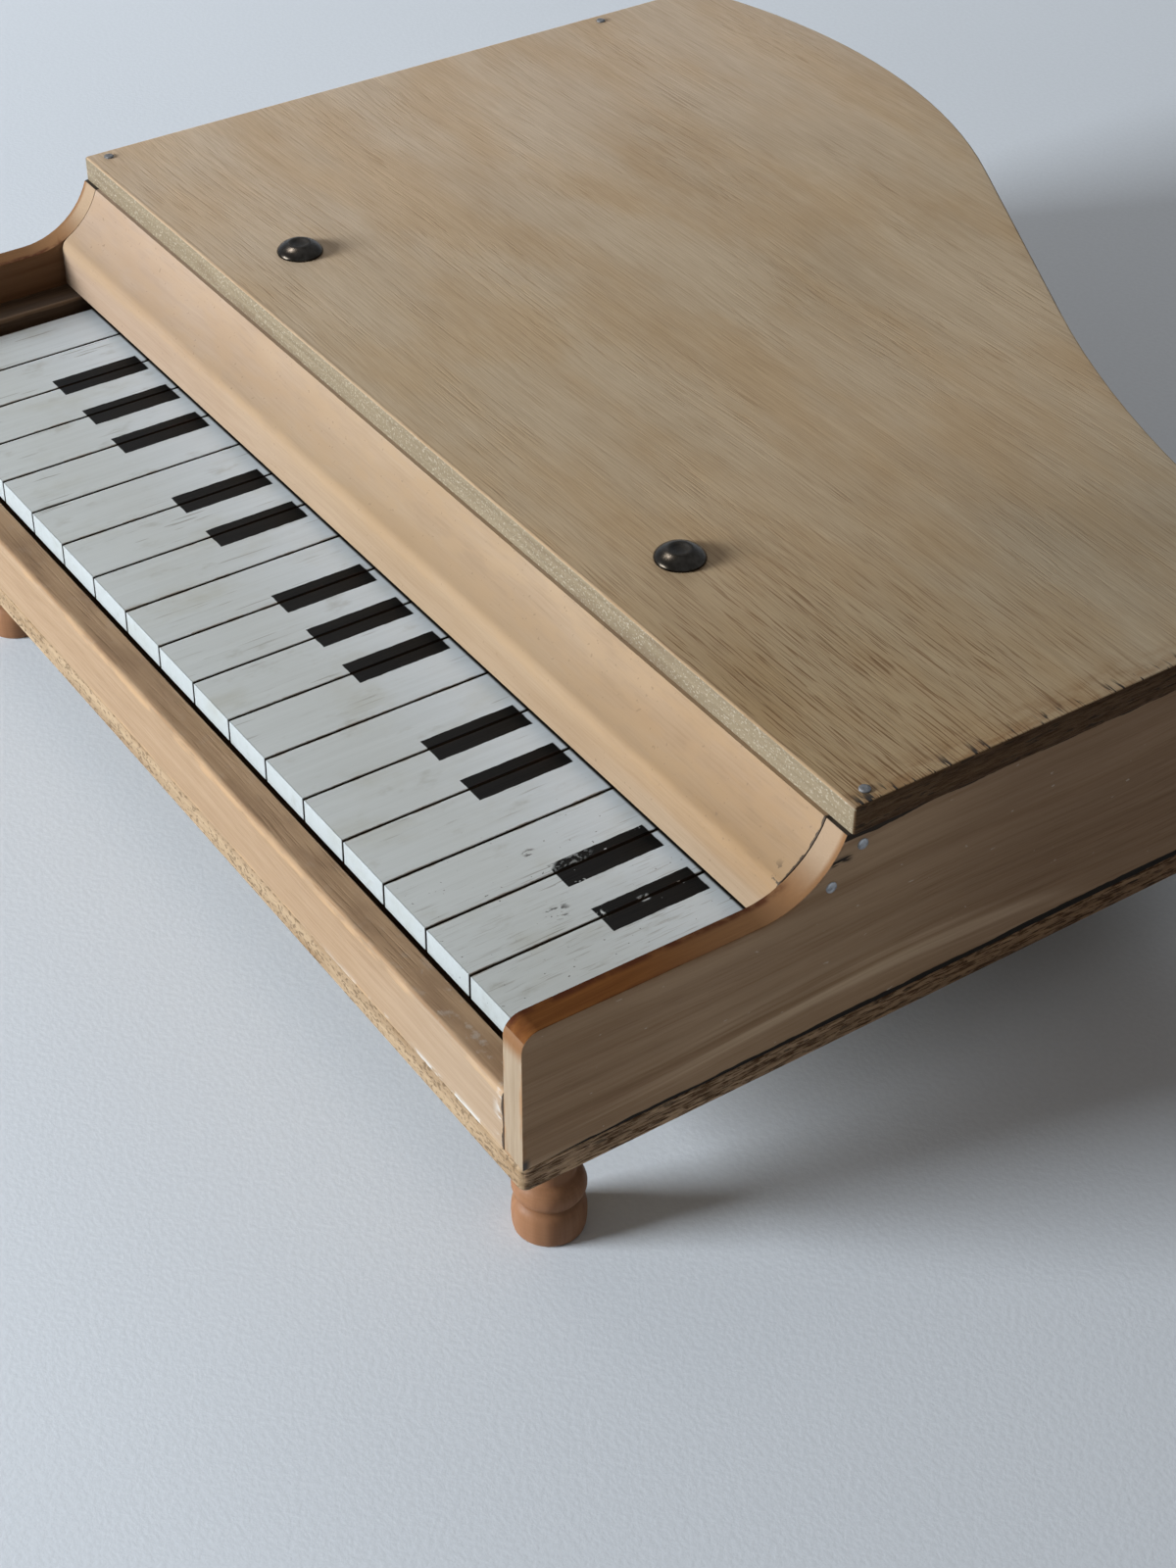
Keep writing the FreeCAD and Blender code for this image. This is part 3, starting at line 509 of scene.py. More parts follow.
def arm_top():
    """Top of the arms: dark orange-brown from handling, pale and bare up the cove."""
    made = wood("arm_top", (0.160, 0.062, 0.017), (0.105, 0.036, 0.009), "Y", 120.0, lines=0.3,
                fibres=0.6, worn_tint=(0.100, 0.034, 0.009), rough=(0.58, 0.7), sheen=0.03,
                dirt=0.3)
    x, y, z = made.axes()
    ground = made.over(made.ground, (0.24, 0.140, 0.072), made.spread(y, -0.105, -0.072), 0.55)
    outer = CASE_RIGHT - 1.0 * MM
    rising = made.both(made.spread(z, 0.0545, 0.0605), made.within(x, -outer, outer, 0.6 * MM))
    ground = made.over(ground, (0.30, 0.220, 0.150), rising, 0.85)
    inner = made.spread(made.size(x), RAIL_END + 1.9 * MM, RAIL_END + 0.7 * MM)
    inner = made.both(inner, made.spread(z, 0.0560, 0.0545))
    chipped = made.cloud((300.0, 240.0, 300.0), 0.3, 0.6, 3.0, shift=(3.0, 2.0, 8.0))
    inner = made.both(inner, chipped)
    ground = made.over(ground, (0.055, 0.014, 0.006), inner, 0.85)
    made.colour(ground)
    return made.material


def arm_front():
    """Front ends of the sides: end grain, pale, rubbed brown at the rims."""
    made = wood("arm_front", (0.295, 0.232, 0.166), (0.245, 0.186, 0.128), "Z", 150.0, lines=0.25,
                fibres=0.6, worn_tint=(0.25, 0.145, 0.075), dirt=0.3)
    z = made.axes()[2]
    made.colour(made.over(made.ground, (0.17, 0.082, 0.034), made.spread(z, 0.0465, 0.0505)))
    return made.material


def fallboard_face():
    """Moulding behind the keys: smooth peach-beige wood, warm lip, split from the right arm."""
    made = wood("fallboard_face", (0.297, 0.218, 0.146), (0.270, 0.193, 0.126), "X", 60.0,
                lines=0.12, fibres=0.35, worn_tint=(0.285, 0.202, 0.127), dirt=0.16, relief=0.08)
    x, _, z = made.axes()
    # Painted sheen and shade: paler and bluer toward the left, darker and warmer toward the right.
    ground = made.stain(made.ground, (1.05, 1.065, 1.19), made.spread(x, 0.02, -0.12))
    ground = made.stain(ground, (0.94, 0.88, 0.80), made.spread(x, 0.05, 0.11))
    # Painted light on the cove's upturned foot above the lip.
    crease = made.within(z, 0.0552, 0.0580, 0.0016)
    ground = made.stain(ground, (1.06, 1.06, 1.05), crease)
    ground = made.stain(ground, (0.98, 0.95, 0.87), made.within(z, 0.0538, 0.0556, 0.0010))
    # The lip's foot is paler and bluer toward the right end.
    pale_blue_foot = made.both(made.spread(z, 0.0515, 0.0480), made.spread(x, 0.06, 0.12))
    ground = made.stain(ground, (1.07, 1.18, 1.36), pale_blue_foot)
    blotch = made.cloud((22.0, 120.0, 120.0), 0.36, 0.68, 4.0, shift=(8.0, 2.0, 5.0))
    ground = made.stain(ground, (0.90, 0.86, 0.81), blotch, 0.7)
    speck = made.cloud((1100.0, 1100.0, 1100.0), 0.71, 0.75, 1.0)
    ground = made.over(ground, (0.13, 0.08, 0.05), speck, 0.4)
    rub = made.within(z, 0.0520, 0.0575, 0.0015)
    rub = made.both(rub, made.cloud((14.0, 120.0, 120.0), 0.35, 0.7, 3.0))
    ground = made.over(ground, (0.295, 0.204, 0.124), rub, 0.6)
    end = made.less(x, made.ragged((300.0, 500.0, 500.0), -0.25 * MM, 0.25 * MM))
    split = made.spread(end, RAIL_END - 0.65 * MM, RAIL_END - 0.45 * MM)
    ground = made.over(ground, (0.020, 0.012, 0.008), split, 0.9)
    chip = made.cloud((420.0, 500.0, 700.0), 0.58, 0.62, 3.0, shift=(6.0, 6.0, 0.0))
    low_end = made.both(made.spread(x, RAIL_END - 5.0 * MM, RAIL_END - 2.0 * MM),
                        made.spread(z, 0.0575, 0.0555))
    chip = made.both(chip, low_end)
    ground = made.over(ground, (0.035, 0.026, 0.020), chip, 0.85)
    made.colour(ground)
    return made.material


def rail_face():
    """Front strip: pale tan front, with paint remnants and cracks at its right end and foot."""
    made = wood("rail_face", (0.318, 0.225, 0.147), (0.257, 0.173, 0.106), "X", 70.0, lines=0.2,
                fibres=0.4, worn_tint=(0.33, 0.215, 0.122), dirt=0.3)
    x, _, z = made.axes()
    flake = made.cloud((190.0, 190.0, 420.0), 0.50, 0.58, 3.0, shift=(1.0, 1.0, 6.0))
    foot = made.spread(z, BOARD_TOP + 1.6 * MM, BOARD_TOP + 0.2 * MM)
    end = made.both(made.spread(x, RAIL_END - 3.7 * MM, RAIL_END - 0.5 * MM), 0.9)
    near_end = made.both(foot, made.spread(x, 0.060, 0.120))
    paint = made.both(flake, made.either(near_end, end))
    ground = made.stain(made.ground, (1.03, 1.09, 1.18), made.spread(x, 0.080, 0.125))
    ground = made.over(ground, (0.46, 0.46, 0.45), paint, 0.85)
    ragged = made.ragged((300.0, 300.0, 260.0), -0.35 * MM, 0.35 * MM)
    crack = made.spread(made.less(x, ragged), RAIL_END - 0.75 * MM, RAIL_END - 0.45 * MM)
    ground = made.over(ground, (0.020, 0.013, 0.010), crack, 0.92)
    made.colour(ground)
    return made.material


def rail_top():
    """Top of the front strip: browner, stained, dusty toward its right end."""
    made = wood("rail_top", (0.410, 0.271, 0.163), (0.310, 0.197, 0.112), "X", 90.0, lines=0.3,
                fibres=0.5, worn_tint=(0.35, 0.235, 0.14), dirt=0.5)
    x = made.axes()[0]
    stain = made.cloud((70.0, 160.0, 160.0), 0.42, 0.68, 5.0, shift=(2.0, 5.0, 3.0))
    ground = made.stain(made.ground, (0.74, 0.71, 0.70), stain, 0.8)
    dust = made.cloud((260.0, 330.0, 330.0), 0.56, 0.68, 4.0, shift=(7.0, 2.0, 2.0))
    dust = made.both(dust, made.spread(x, 0.085, 0.130, 0.06, 0.42))
    made.colour(made.over(ground, (0.46, 0.43, 0.39), dust))
    return made.material


def plain_wood():
    """Rails of the action."""
    made = wood("plain_wood", (0.36, 0.265, 0.175), (0.25, 0.175, 0.11), "X", 70.0,
                worn_tint=(0.22, 0.14, 0.085))
    return made.material


def cheek_wood():
    """Blocks beside the end keys: dusty wood, painted dark as the shade in the gaps beside the end
    keys.
    """
    made = wood("cheek_wood", (0.105, 0.068, 0.043), (0.058, 0.036, 0.022), "Y", 90.0,
                worn_tint=(0.15, 0.095, 0.058), dirt=0.5)
    return made.material


def hammer_wood():
    made = wood("hammer_wood", (0.55, 0.42, 0.28), (0.44, 0.32, 0.20), "Y", 160.0, lines=0.3)
    return made.material


def bent_plywood():
    """Bent strip round the waist and tail, grain lying along it."""
    made = Finish("bent_plywood", Specular_IOR_Level=0.12)
    bent = made.waver(9.0, 0.01)
    bands = made.cloud((7.0, 7.0, 120.0), 0.32, 0.68, 4.0, where=bent)
    fibre = made.cloud((60.0, 60.0, 1500.0), 0.25, 0.75, 2.0, 0.7)
    pore = made.cloud((80.0, 80.0, 2200.0), 0.60, 0.68, 1.0, shift=(2.0, 2.0, 6.0))
    smear = made.cloud((22.0, 22.0, 22.0), 0.45, 0.75, 4.0)
    ground = made.over((0.28, 0.184, 0.108), (0.41, 0.285, 0.175), bands)
    ground = made.stain(ground, (0.86, 0.83, 0.80), fibre)
    ground = made.stain(ground, (0.50, 0.40, 0.31), pore, 0.5)
    ground = made.stain(ground, (0.7, 0.66, 0.6), smear, 0.5)
    z = made.axes()[2]
    uneven = made.cloud((90.0, 90.0, 200.0), 0.3, 0.75, 3.0)
    joint = made.either(made.spread(z, BOARD_TOP + 0.3 * MM, BOARD_TOP + 1.0 * MM, 1.0, 0.0),
                        made.spread(z, LID_UNDER - 1.0 * MM, LID_UNDER - 0.2 * MM))
    ground = made.over(ground, (0.02, 0.015, 0.012), made.both(joint, uneven))
    made.colour(ground)
    made.gloss(made.spread(smear, 0.0, 1.0, 0.52, 0.68))
    made.relief(made.less(made.both(fibre, 0.4), pore), 0.25, 0.15 * MM)
    return made.material


def leg_wood():
    """Turned legs: orange-tan, fine grain up the leg, with painted shade in the notch."""
    made = wood("leg_wood", (0.276, 0.142, 0.076), (0.216, 0.105, 0.053), "Z", 90.0, lines=0.12,
                fibres=0.3, rough=(0.45, 0.58), dirt=0.3, relief=0.06)
    z = made.axes()[2]
    lathe = made.cloud((8.0, 8.0, 2200.0), 0.3, 0.7, 2.0)
    ground = made.stain(made.ground, (0.93, 0.91, 0.89), lathe)
    # Painted shade in the notch under the bead
    notch = made.within(z, 0.0070, 0.0079, 0.0003)
    ground = made.over(ground, (0.14, 0.062, 0.028), notch, 0.6)
    made.colour(ground)
    return made.material


# Painted sharps: seams, half width and keyboard in mm from the keyboard's middle, ends in metres
SHARP_SEAMS = (-98, -84, -70, -42, -28, 0, 14, 28, 56, 70, 98, 112)
SHARP_HALF = 3.4
KEYBOARD_HALF = 126.0
SHARP_FRONT = KEY_FRONT + 26.3 * MM
SHARP_BACK = FALLBOARD_FRONT + 0.3 * MM


def sharp_stripes(made, x):
    """1 on the stripes along the seams that carry a sharp."""
    reach = KEYBOARD_HALF * MM
    stripes = made.add("ShaderNodeValToRGB")
    stripes.color_ramp.interpolation = "CONSTANT"
    stops = stripes.color_ramp.elements
    stops.remove(stops[1])
    for seam in SHARP_SEAMS:
        for edge, level in ((seam - SHARP_HALF, 1.0), (seam + SHARP_HALF, 0.0)):
            stop = stops.new((edge + KEYBOARD_HALF) / (2 * KEYBOARD_HALF))
            stop.color = (level, level, level, 1)
    made.feed(stripes.inputs["Fac"], made.spread(x, -reach, reach, smooth=False))
    return stripes.outputs["Color"]


def lost_paint(made, x, y):
    """Where two treble sharps have lost paint, mostly at their front ends."""
    scuff = made.cloud((1000.0, 800.0, 800.0), 0.50, 0.60, 3.0, shift=(4.0, 0.0, 0.0))
    smeared = made.spot(x, (0.0938, 0.0979, 0.0007), y, (-0.0890, -0.0808, 0.0014))
    slant = made.less(made.both(made.less(x, 0.0946), 400.0),
                      made.both(made.less(y, SHARP_FRONT), -300.0))
    corner = made.both(made.within(x, 0.0938, 0.0979, 0.0003), made.spread(slant, 1.15, 0.75))
    notch = made.spot(x, (0.1105, 0.1122, 0.0005), y, (-0.0892, -0.0872, 0.0006))
    lost = made.both(made.either(made.both(smeared, 0.34), notch), scuff)
    lost = made.either(lost, made.both(corner, made.spread(scuff, 0.0, 1.0, 0.55, 1.0)))
    flake = made.spot(x, (0.1112, 0.1126, 0.0003), y, (-0.0806, -0.0788, 0.0005))
    flake = made.both(flake, made.cloud((900.0, 500.0, 800.0), 0.42, 0.55))
    chips = made.cloud((420.0, 260.0, 400.0), 0.68, 0.71, 3.0, shift=(2.0, 7.0, 0.0))
    chips = made.both(chips, made.spread(x, 0.088, 0.094))
    return made.either(made.either(lost, flake), chips)


def dark_marks(made, x, y):
    """Dark scratches and specks beside the worn sharps."""
    long_mark = made.spot(x, (0.1052, 0.1084, 0.0007), y, (-0.0964, -0.0918, 0.0009))
    short_mark = made.spot(x, (0.0900, 0.0918, 0.0005), y, (-0.0907, -0.0885, 0.0005))
    scratch = made.cloud((1100.0, 600.0, 500.0), 0.52, 0.60, 2.0, shift=(8.0, 4.0, 1.0))
    fleck = made.cloud((1300.0, 1000.0, 900.0), 0.745, 0.780, 1.0, shift=(3.0, 6.0, 5.0))
    return made.either(made.both(made.either(long_mark, short_mark), scratch),
                       made.both(fleck, made.spread(x, 0.070, 0.100)))


def painted_key():
    """White enamel on wood, brushed along the key, with black sharps painted across the seams."""
    made = Finish("painted_key", Specular_IOR_Level=0.07)
    x, y, z = made.axes()
    shake = made.cloud((330.0, 330.0, 330.0), 0.2, 0.8, 3.0)
    drift = made.spread(shake, 0.0, 1.0, 0.09 * MM, -0.09 * MM, False)
    sharp = made.both(sharp_stripes(made, made.less(x, drift)),
                      made.within(made.less(y, drift), SHARP_FRONT, SHARP_BACK, 0.12 * MM))
    sharp = made.both(sharp, made.spread(z, KEY_TOP - 0.6 * MM, KEY_TOP - 0.3 * MM))
    sharp = made.both(sharp, made.less(1.0, lost_paint(made, x, y)))
    # White ground with brushed streaks, smudges and hairline scratches
    streak = made.cloud((900.0, 22.0, 500.0), 0.3, 0.75, 3.0)
    smudge = made.cloud((90.0, 55.0, 90.0), 0.50, 0.78, 4.0, shift=(3.0, 3.0, 3.0))
    grime = made.cloud((260.0, 120.0, 260.0), 0.58, 0.78, 4.0, shift=(9.0, 1.0, 2.0))
    hair = made.cloud((1500.0, 60.0, 900.0), 0.635, 0.68, 2.0, shift=(1.0, 5.0, 4.0))
    patch = made.cloud((70.0, 40.0, 70.0), 0.45, 0.62, 2.0, shift=(6.0, 2.0, 1.0))
    hair = made.both(hair, patch)
    dashes = made.cloud((3300.0, 130.0, 900.0), 0.60, 0.66, 1.5, shift=(5.0, 8.0, 1.0))
    hair = made.either(hair, made.both(dashes, made.spread(x, 0.080, 0.120, 0.05, 0.6)))
    front = made.spread(y, KEY_FRONT + 0.35 * MM, KEY_FRONT + 0.1 * MM)
    hair = made.both(hair, made.less(1.0, front))
    ground = made.over((0.592, 0.627, 0.633), (0.555, 0.587, 0.590), streak)
    ground = made.stain(ground, (0.92, 0.92, 0.91), made.spread(x, 0.095, 0.122))
    # Painted reflection: the paint is paler and bluer toward the fallboard
    ground = made.stain(ground, (1.09, 1.12, 1.19), made.spread(y, -0.100, -0.072))
    # Painted shade: the front faces of the keys are painted darker.
    ground = made.stain(ground, (0.575, 0.59, 0.605), front)
    ground = made.stain(ground, (0.90, 0.88, 0.83), smudge)
    ground = made.stain(ground, (0.66, 0.63, 0.57), grime, 0.55)
    ground = made.over(ground, (0.20, 0.185, 0.16), hair, 0.6)
    ground = made.over(ground, (0.05, 0.045, 0.04), dark_marks(made, x, y), 0.8)
    rubbed = made.cloud((300.0, 180.0, 300.0), 0.25, 0.8, 4.0, shift=(2.0, 2.0, 9.0))
    rim = made.both(made.worn(0.42, 0.72, rubbed), made.less(1.0, front))
    ground = made.over(ground, (0.30, 0.255, 0.21), rim, 0.7)
    # Painted shadow where the keys go under the fallboard
    hidden = made.spread(y, FALLBOARD_FRONT + 1.3 * MM, FALLBOARD_FRONT + 1.9 * MM)
    ground = made.over(ground, (0.012, 0.010, 0.008), hidden)
    black = made.over((0.0035, 0.0035, 0.0035), (0.007, 0.0065, 0.006), streak)
    black = made.over(black, (0.022, 0.010, 0.006), rim, 0.5)
    made.colour(made.over(ground, black, sharp))
    made.gloss(made.spread(made.plus(made.both(smudge, 0.6), made.both(streak, 0.4)),
                           0.0, 1.0, 0.38, 0.58))
    height = made.less(made.both(streak, 0.35), hair)
    made.relief(made.plus(height, made.both(sharp, 0.6)), 0.3, 0.12 * MM)
    return made.material


def key_flank():
    """Sides of the keys: bare wood, painted near black as the shade in the seams between the keys.
    """
    made = wood("key_flank", (0.07, 0.052, 0.038), (0.03, 0.022, 0.016), "Y", 120.0, lines=0.4)
    return made.material


def bronzed_screw():
    """Dark bronzed steel, rubbed brighter on the dome."""
    made = Finish("bronzed_screw", Metallic=1.0)
    rub = made.cloud((420.0, 420.0, 420.0), 0.35, 0.72, 4.0)
    grime = made.cloud((900.0, 900.0, 900.0), 0.5, 0.7, 3.0, shift=(2.0, 2.0, 2.0))
    ground = made.over((0.018, 0.015, 0.012), (0.036, 0.031, 0.026), rub)
    made.colour(made.over(ground, (0.014, 0.012, 0.009), grime, 0.6))
    made.gloss(made.spread(grime, 0.0, 1.0, 0.25, 0.32))
    made.relief(grime, 0.06, 0.05 * MM)
    return made.material


def packed_dirt():
    """Dirt in the dimples of the screws."""
    made = Finish("packed_dirt", Specular_IOR_Level=0.1)
    crumb = made.cloud((1500.0, 1500.0, 1500.0), 0.35, 0.7, 3.0)
    made.colour(made.over((0.010, 0.008, 0.006), (0.022, 0.018, 0.014), crumb))
    made.gloss(made.spread(crumb, 0.0, 1.0, 0.45, 0.7))
    made.relief(crumb, 0.3, 0.05 * MM)
    return made.material


def nail_steel(name, pale, deep):
    """Nail steel, dulled and dented by the hammer."""
    made = Finish(name, Metallic=0.7)
    dent = made.cloud((1300.0, 1300.0, 1300.0), 0.35, 0.7, 2.0)
    dull = made.cloud((700.0, 700.0, 700.0), 0.4, 0.7, 3.0, shift=(3.0, 3.0, 3.0))
    made.colour(made.over(pale, deep, dull))
    made.gloss(made.spread(dull, 0.0, 1.0, 0.5, 0.65))
    made.relief(dent, 0.5, 0.08 * MM)
    return made.material


def steel_wire():
    made = Finish("steel_wire", Metallic=1.0)
    drawn = made.cloud((900.0, 30.0, 900.0), 0.3, 0.7, 3.0)
    made.colour(made.over((0.50, 0.50, 0.50), (0.33, 0.32, 0.31), drawn))
    made.gloss(made.spread(drawn, 0.0, 1.0, 0.28, 0.45))
    made.relief(drawn, 0.15, 0.03 * MM)
    return made.material


def iron_block():
    made = Finish("iron_block", Metallic=0.85)
    grain = made.cloud((600.0, 600.0, 600.0), 0.35, 0.7, 4.0)
    rust = made.cloud((60.0, 60.0, 60.0), 0.55, 0.72, 5.0)
    ground = made.over((0.11, 0.11, 0.115), (0.19, 0.185, 0.18), grain)
    made.colour(made.over(ground, (0.17, 0.075, 0.035), rust, 0.7))
    made.gloss(made.spread(grain, 0.0, 1.0, 0.5, 0.7))
    made.relief(grain, 0.35, 0.1 * MM)
    return made.material


def red_felt():
    made = Finish("red_felt", Roughness=0.95, Specular_IOR_Level=0.1, Sheen_Weight=0.35)
    nap = made.cloud((1600.0, 1600.0, 1600.0), 0.3, 0.7, 3.0, 0.7)
    made.colour(made.over((0.20, 0.035, 0.03), (0.30, 0.07, 0.055), nap))
    made.relief(nap, 0.6, 0.2 * MM)
    return made.material


BACKDROP = (0.66, 0.72, 0.79, 1.0)


def seen_directly(tree):
    """1 for the eye and for mirrors, 0 for the light that falls on the piano."""
    path = tree.nodes.new("ShaderNodeLightPath")
    either = path.outputs["Is Camera Ray"]
    for kind in ("Is Glossy Ray", "Is Transmission Ray"):
        most = tree.nodes.new("ShaderNodeMath")
        most.operation = "MAXIMUM"
        tree.links.new(either, most.inputs[0])
        tree.links.new(path.outputs[kind], most.inputs[1])
        either = most.outputs[0]
    return either


def table_top():
    """Pale painted table, a touch of blue, with a fine rolled texture."""
    made = Finish("table_top", Specular_IOR_Level=0.25, Roughness=0.7)
    roll = made.cloud((900.0, 900.0, 900.0), 0.3, 0.7, 2.0)
    tone = made.cloud((3.0, 3.0, 3.0), 0.3, 0.7, 2.0)
    ground = made.over((0.68, 0.735, 0.81), (0.71, 0.765, 0.84), tone)
    made.colour(made.stain(ground, (0.97, 0.97, 0.97), roll))
    made.relief(roll, 0.10, 0.12 * MM)
    # Far from the piano the table runs into the pale backdrop
    apart = made.add("ShaderNodeVectorMath", operation="DISTANCE")
    made.feed(apart.inputs[0], made.where)
    apart.inputs[1].default_value = (0.10, 0.12, 0.0)
    glow = made.add("ShaderNodeEmission")
    glow.inputs["Color"].default_value = BACKDROP
    blend = made.add("ShaderNodeMixShader")
    far = made.spread(apart.outputs["Value"], 0.36, 1.0)
    made.feed(blend.inputs[0], made.both(far, seen_directly(made.tree)))
    made.feed(blend.inputs[1], made.shader.outputs["BSDF"])
    made.feed(blend.inputs[2], glow.outputs["Emission"])
    made.feed(made.tree.nodes["Material Output"].inputs["Surface"], blend.outputs["Shader"])
    return made.material


# Case

def lay_lid():
    bm = merged_copy("lid")
    sort_sheet(bm)
    upper = [edge for edge in sharp_edges(bm)
             if max(vert.co.z for vert in edge.verts) > LID_TOP - 0.1 * MM]
    soften(bm, upper, 0.6 * MM)
    mark_wear(bm, margin=2.5 * MM, least_area=1e-3)
    sawn = ply_dark_edge("ply_side_edge", (0.190, 0.118, 0.061), (0.115, 0.066, 0.032),
                         tear=(0.55, 0.48, 0.42), blur=0.185)
    piece(bm, "lid_plywood", (lid_veneer(), ply_front_edge(), sawn),
          stands_for=["lid"])


def lay_board():
    bm = merged_copy("bottom_board")
    sort_sheet(bm)
    soften(bm, sharp_edges(bm), 0.7 * MM)
    mark_wear(bm, margin=2.5 * MM, least_area=1e-3)
    veneer = wood("board_veneer", (0.42, 0.32, 0.21), (0.31, 0.225, 0.14), "X", 34.0, lines=0.6,
                  dirt=0.6).material
    sawn = ply_dark_edge("ply_board_edge", (0.500, 0.335, 0.198), (0.310, 0.197, 0.113),
                         tear=(0.28, 0.23, 0.19), blur=0.07)
    piece(bm, "board_plywood", (veneer, board_front_edge(), sawn),
          stands_for=["bottom_board"])


def raise_sides():
    finishes = (side_face(), arm_top(), arm_front())
    for node in ("left_side", "right_side"):
        bm = merged_copy(node)
        for face in bm.faces:
            facing, middle = face.normal, face.calc_center_median()
            if abs(facing.x) > 0.7:
                face.material_index = 0
            elif facing.y < -0.85 and middle.y < NEAR_FRONT:
                face.material_index = 2
            else:
                low = middle.z < LID_UNDER - 0.5 * MM
                face.material_index = 1 if facing.z > 0.02 and low else 0
        rims = [edge for edge in sharp_edges(bm)
                if {face.material_index for face in edge.link_faces} & {1, 2}]
        # The edge that meets the fallboard's end stays square
        tight = [edge for edge in rims
                 if all(abs(vert.co.x) < RAIL_END + 0.1 * MM
                        and vert.co.y > FALLBOARD_FRONT - MM for vert in edge.verts)]
        soften(bm, set(rims) - set(tight), 0.9 * MM, 4)
        mark_wear(bm, margin=1.6 * MM, least_area=1e-4)
        piece(bm, node + "_board", finishes, stands_for=[node])


def fit_fallboard():
    bm = merged_copy("fallboard")
    for vert in bm.verts:
        vert.co.x *= 1.0 - 0.2 * MM / RAIL_END
    lip = [edge for edge in lengthwise(sharp_edges(bm))
           if edge.verts[0].co.y < FALLBOARD_FRONT + 0.5 * MM
           and edge.verts[0].co.z > FALLBOARD_FOOT + 5 * MM]
    soften(bm, lip, 2.4 * MM, 7)
    lower = [edge for edge in lengthwise(sharp_edges(bm, 40))
             if edge.verts[0].co.z < LID_UNDER - MM]
    soften(bm, lower, 0.4 * MM)
    mark_wear(bm, margin=1.2 * MM, least_area=1e-3)
    piece(bm, "fallboard_moulding", (fallboard_face(),), stands_for=["fallboard"])


def fit_rail():
    bm = merged_copy("front_rail")
    for vert in bm.verts:
        vert.co.x *= 1.0 - 0.18 * MM / RAIL_END
        if vert.co.z > RAIL_TOP - 0.1 * MM and vert.co.y > NEAR_FRONT:
            vert.co.y = KEY_FRONT - 1.15 * MM
    for face in bm.faces:
        face.material_index = 0 if face.normal.y < -0.7 else 1
    front = [edge for edge in lengthwise(sharp_edges(bm))
             if edge.verts[0].co.y < NEAR_FRONT and edge.verts[0].co.z > BOARD_TOP + MM]
    soften(bm, front, 1.1 * MM, 4)
    soften(bm, sharp_edges(bm, 50), 0.15 * MM, 2)
    mark_wear(bm, margin=1.2 * MM, least_area=5e-4)
    piece(bm, "front_strip", (rail_face(), rail_top()), stands_for=["front_rail"])


def fit_cheeks():
    finish = cheek_wood()
    for node in ("left_cheek", "right_cheek"):
        bm = merged_copy(node)
        soften(bm, sharp_edges(bm), 0.4 * MM)
        mark_wear(bm, margin=0.9 * MM, least_area=1e-4)
        piece(bm, node + "_block", (finish,), stands_for=[node])


def bend_side():
    bm = merged_copy("bent_side")
    soften(bm, sharp_edges(bm), 0.3 * MM, 2)
    piece(bm, "bent_strip", (bent_plywood(),), stands_for=["bent_side"])


# Legs, screws and nails

# Profiles for turning, as (radius, height) in mm
LEG = ((0.0, 0.0), (5.7, 0.0), (6.0, 0.08), (6.2, 0.3), (6.36, 0.9), (6.48, 2.0), (6.53, 3.3),
       (6.49, 4.6), (6.36, 5.6), (6.16, 6.2), (5.86, 6.68), (5.56, 7.02), (5.4, 7.3), (5.38, 7.5),
       (5.5, 7.75), (5.84, 8.2), (6.2, 8.8), (6.46, 9.6), (6.48, 10.4), (6.28, 11.2), (5.9, 11.95),
       (5.35, 12.55), (4.85, 12.9), (4.64, 13.2), (4.6, 13.6), (4.6, BOARD_UNDER / MM - 0.05))
SCREW = ((4.9, 0.02), (4.98, 0.25), (4.9, 0.52), (4.6, 0.95), (4.05, 1.42), (3.4, 1.8),
         (2.8, 2.07), (2.4, 2.19), (2.1, 2.22), (1.85, 2.18), (1.55, 2.06), (1.2, 1.95),
         (0.7, 1.88), (0.0, 1.86))
SCREW_HEAD = 5 * MM  # its radius in the solids
NAIL = ((1.08, 0.0), (1.1, 0.14), (1.02, 0.28), (0.8, 0.36), (0.4, 0.33), (0.0, 0.31))
DIMPLE = 2.3 * MM  # the dirt in a screw reaches this far out


def turn_legs():
    """Three pegs: a rounded foot, a notch, a bead and a neck under the board."""
    finish = leg_wood()
    for node in ("leg_front_left", "leg_front_right", "leg_rear"):
        bm = turned(LEG, steps=56)
        low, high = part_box(node)
        middle = (low + high) / 2
        bmesh.ops.translate(bm, verts=bm.verts, vec=(middle.x, middle.y, 0))
        piece(bm, node + "_turning", (finish,), stands_for=[node], even=False)


def drive_screws():
    """Two domed screws: a rolled rim and a round dimple sunk in the crown."""
    low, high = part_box("tone_block_screws")
    made = bmesh.new()
    for across in (low.x + SCREW_HEAD, high.x - SCREW_HEAD):
        bm = turned(SCREW, steps=40)
        for face in bm.faces:
            face.material_index = 1 if face.calc_center_median().xy.length < DIMPLE else 0
        bmesh.ops.translate(bm, verts=bm.verts, vec=(across, (low.y + high.y) / 2, LID_TOP))
        add_to(made, bm)
    piece(made, "domed_screws", (bronzed_screw(), packed_dirt()),
          stands_for=["tone_block_screws"], even=False)


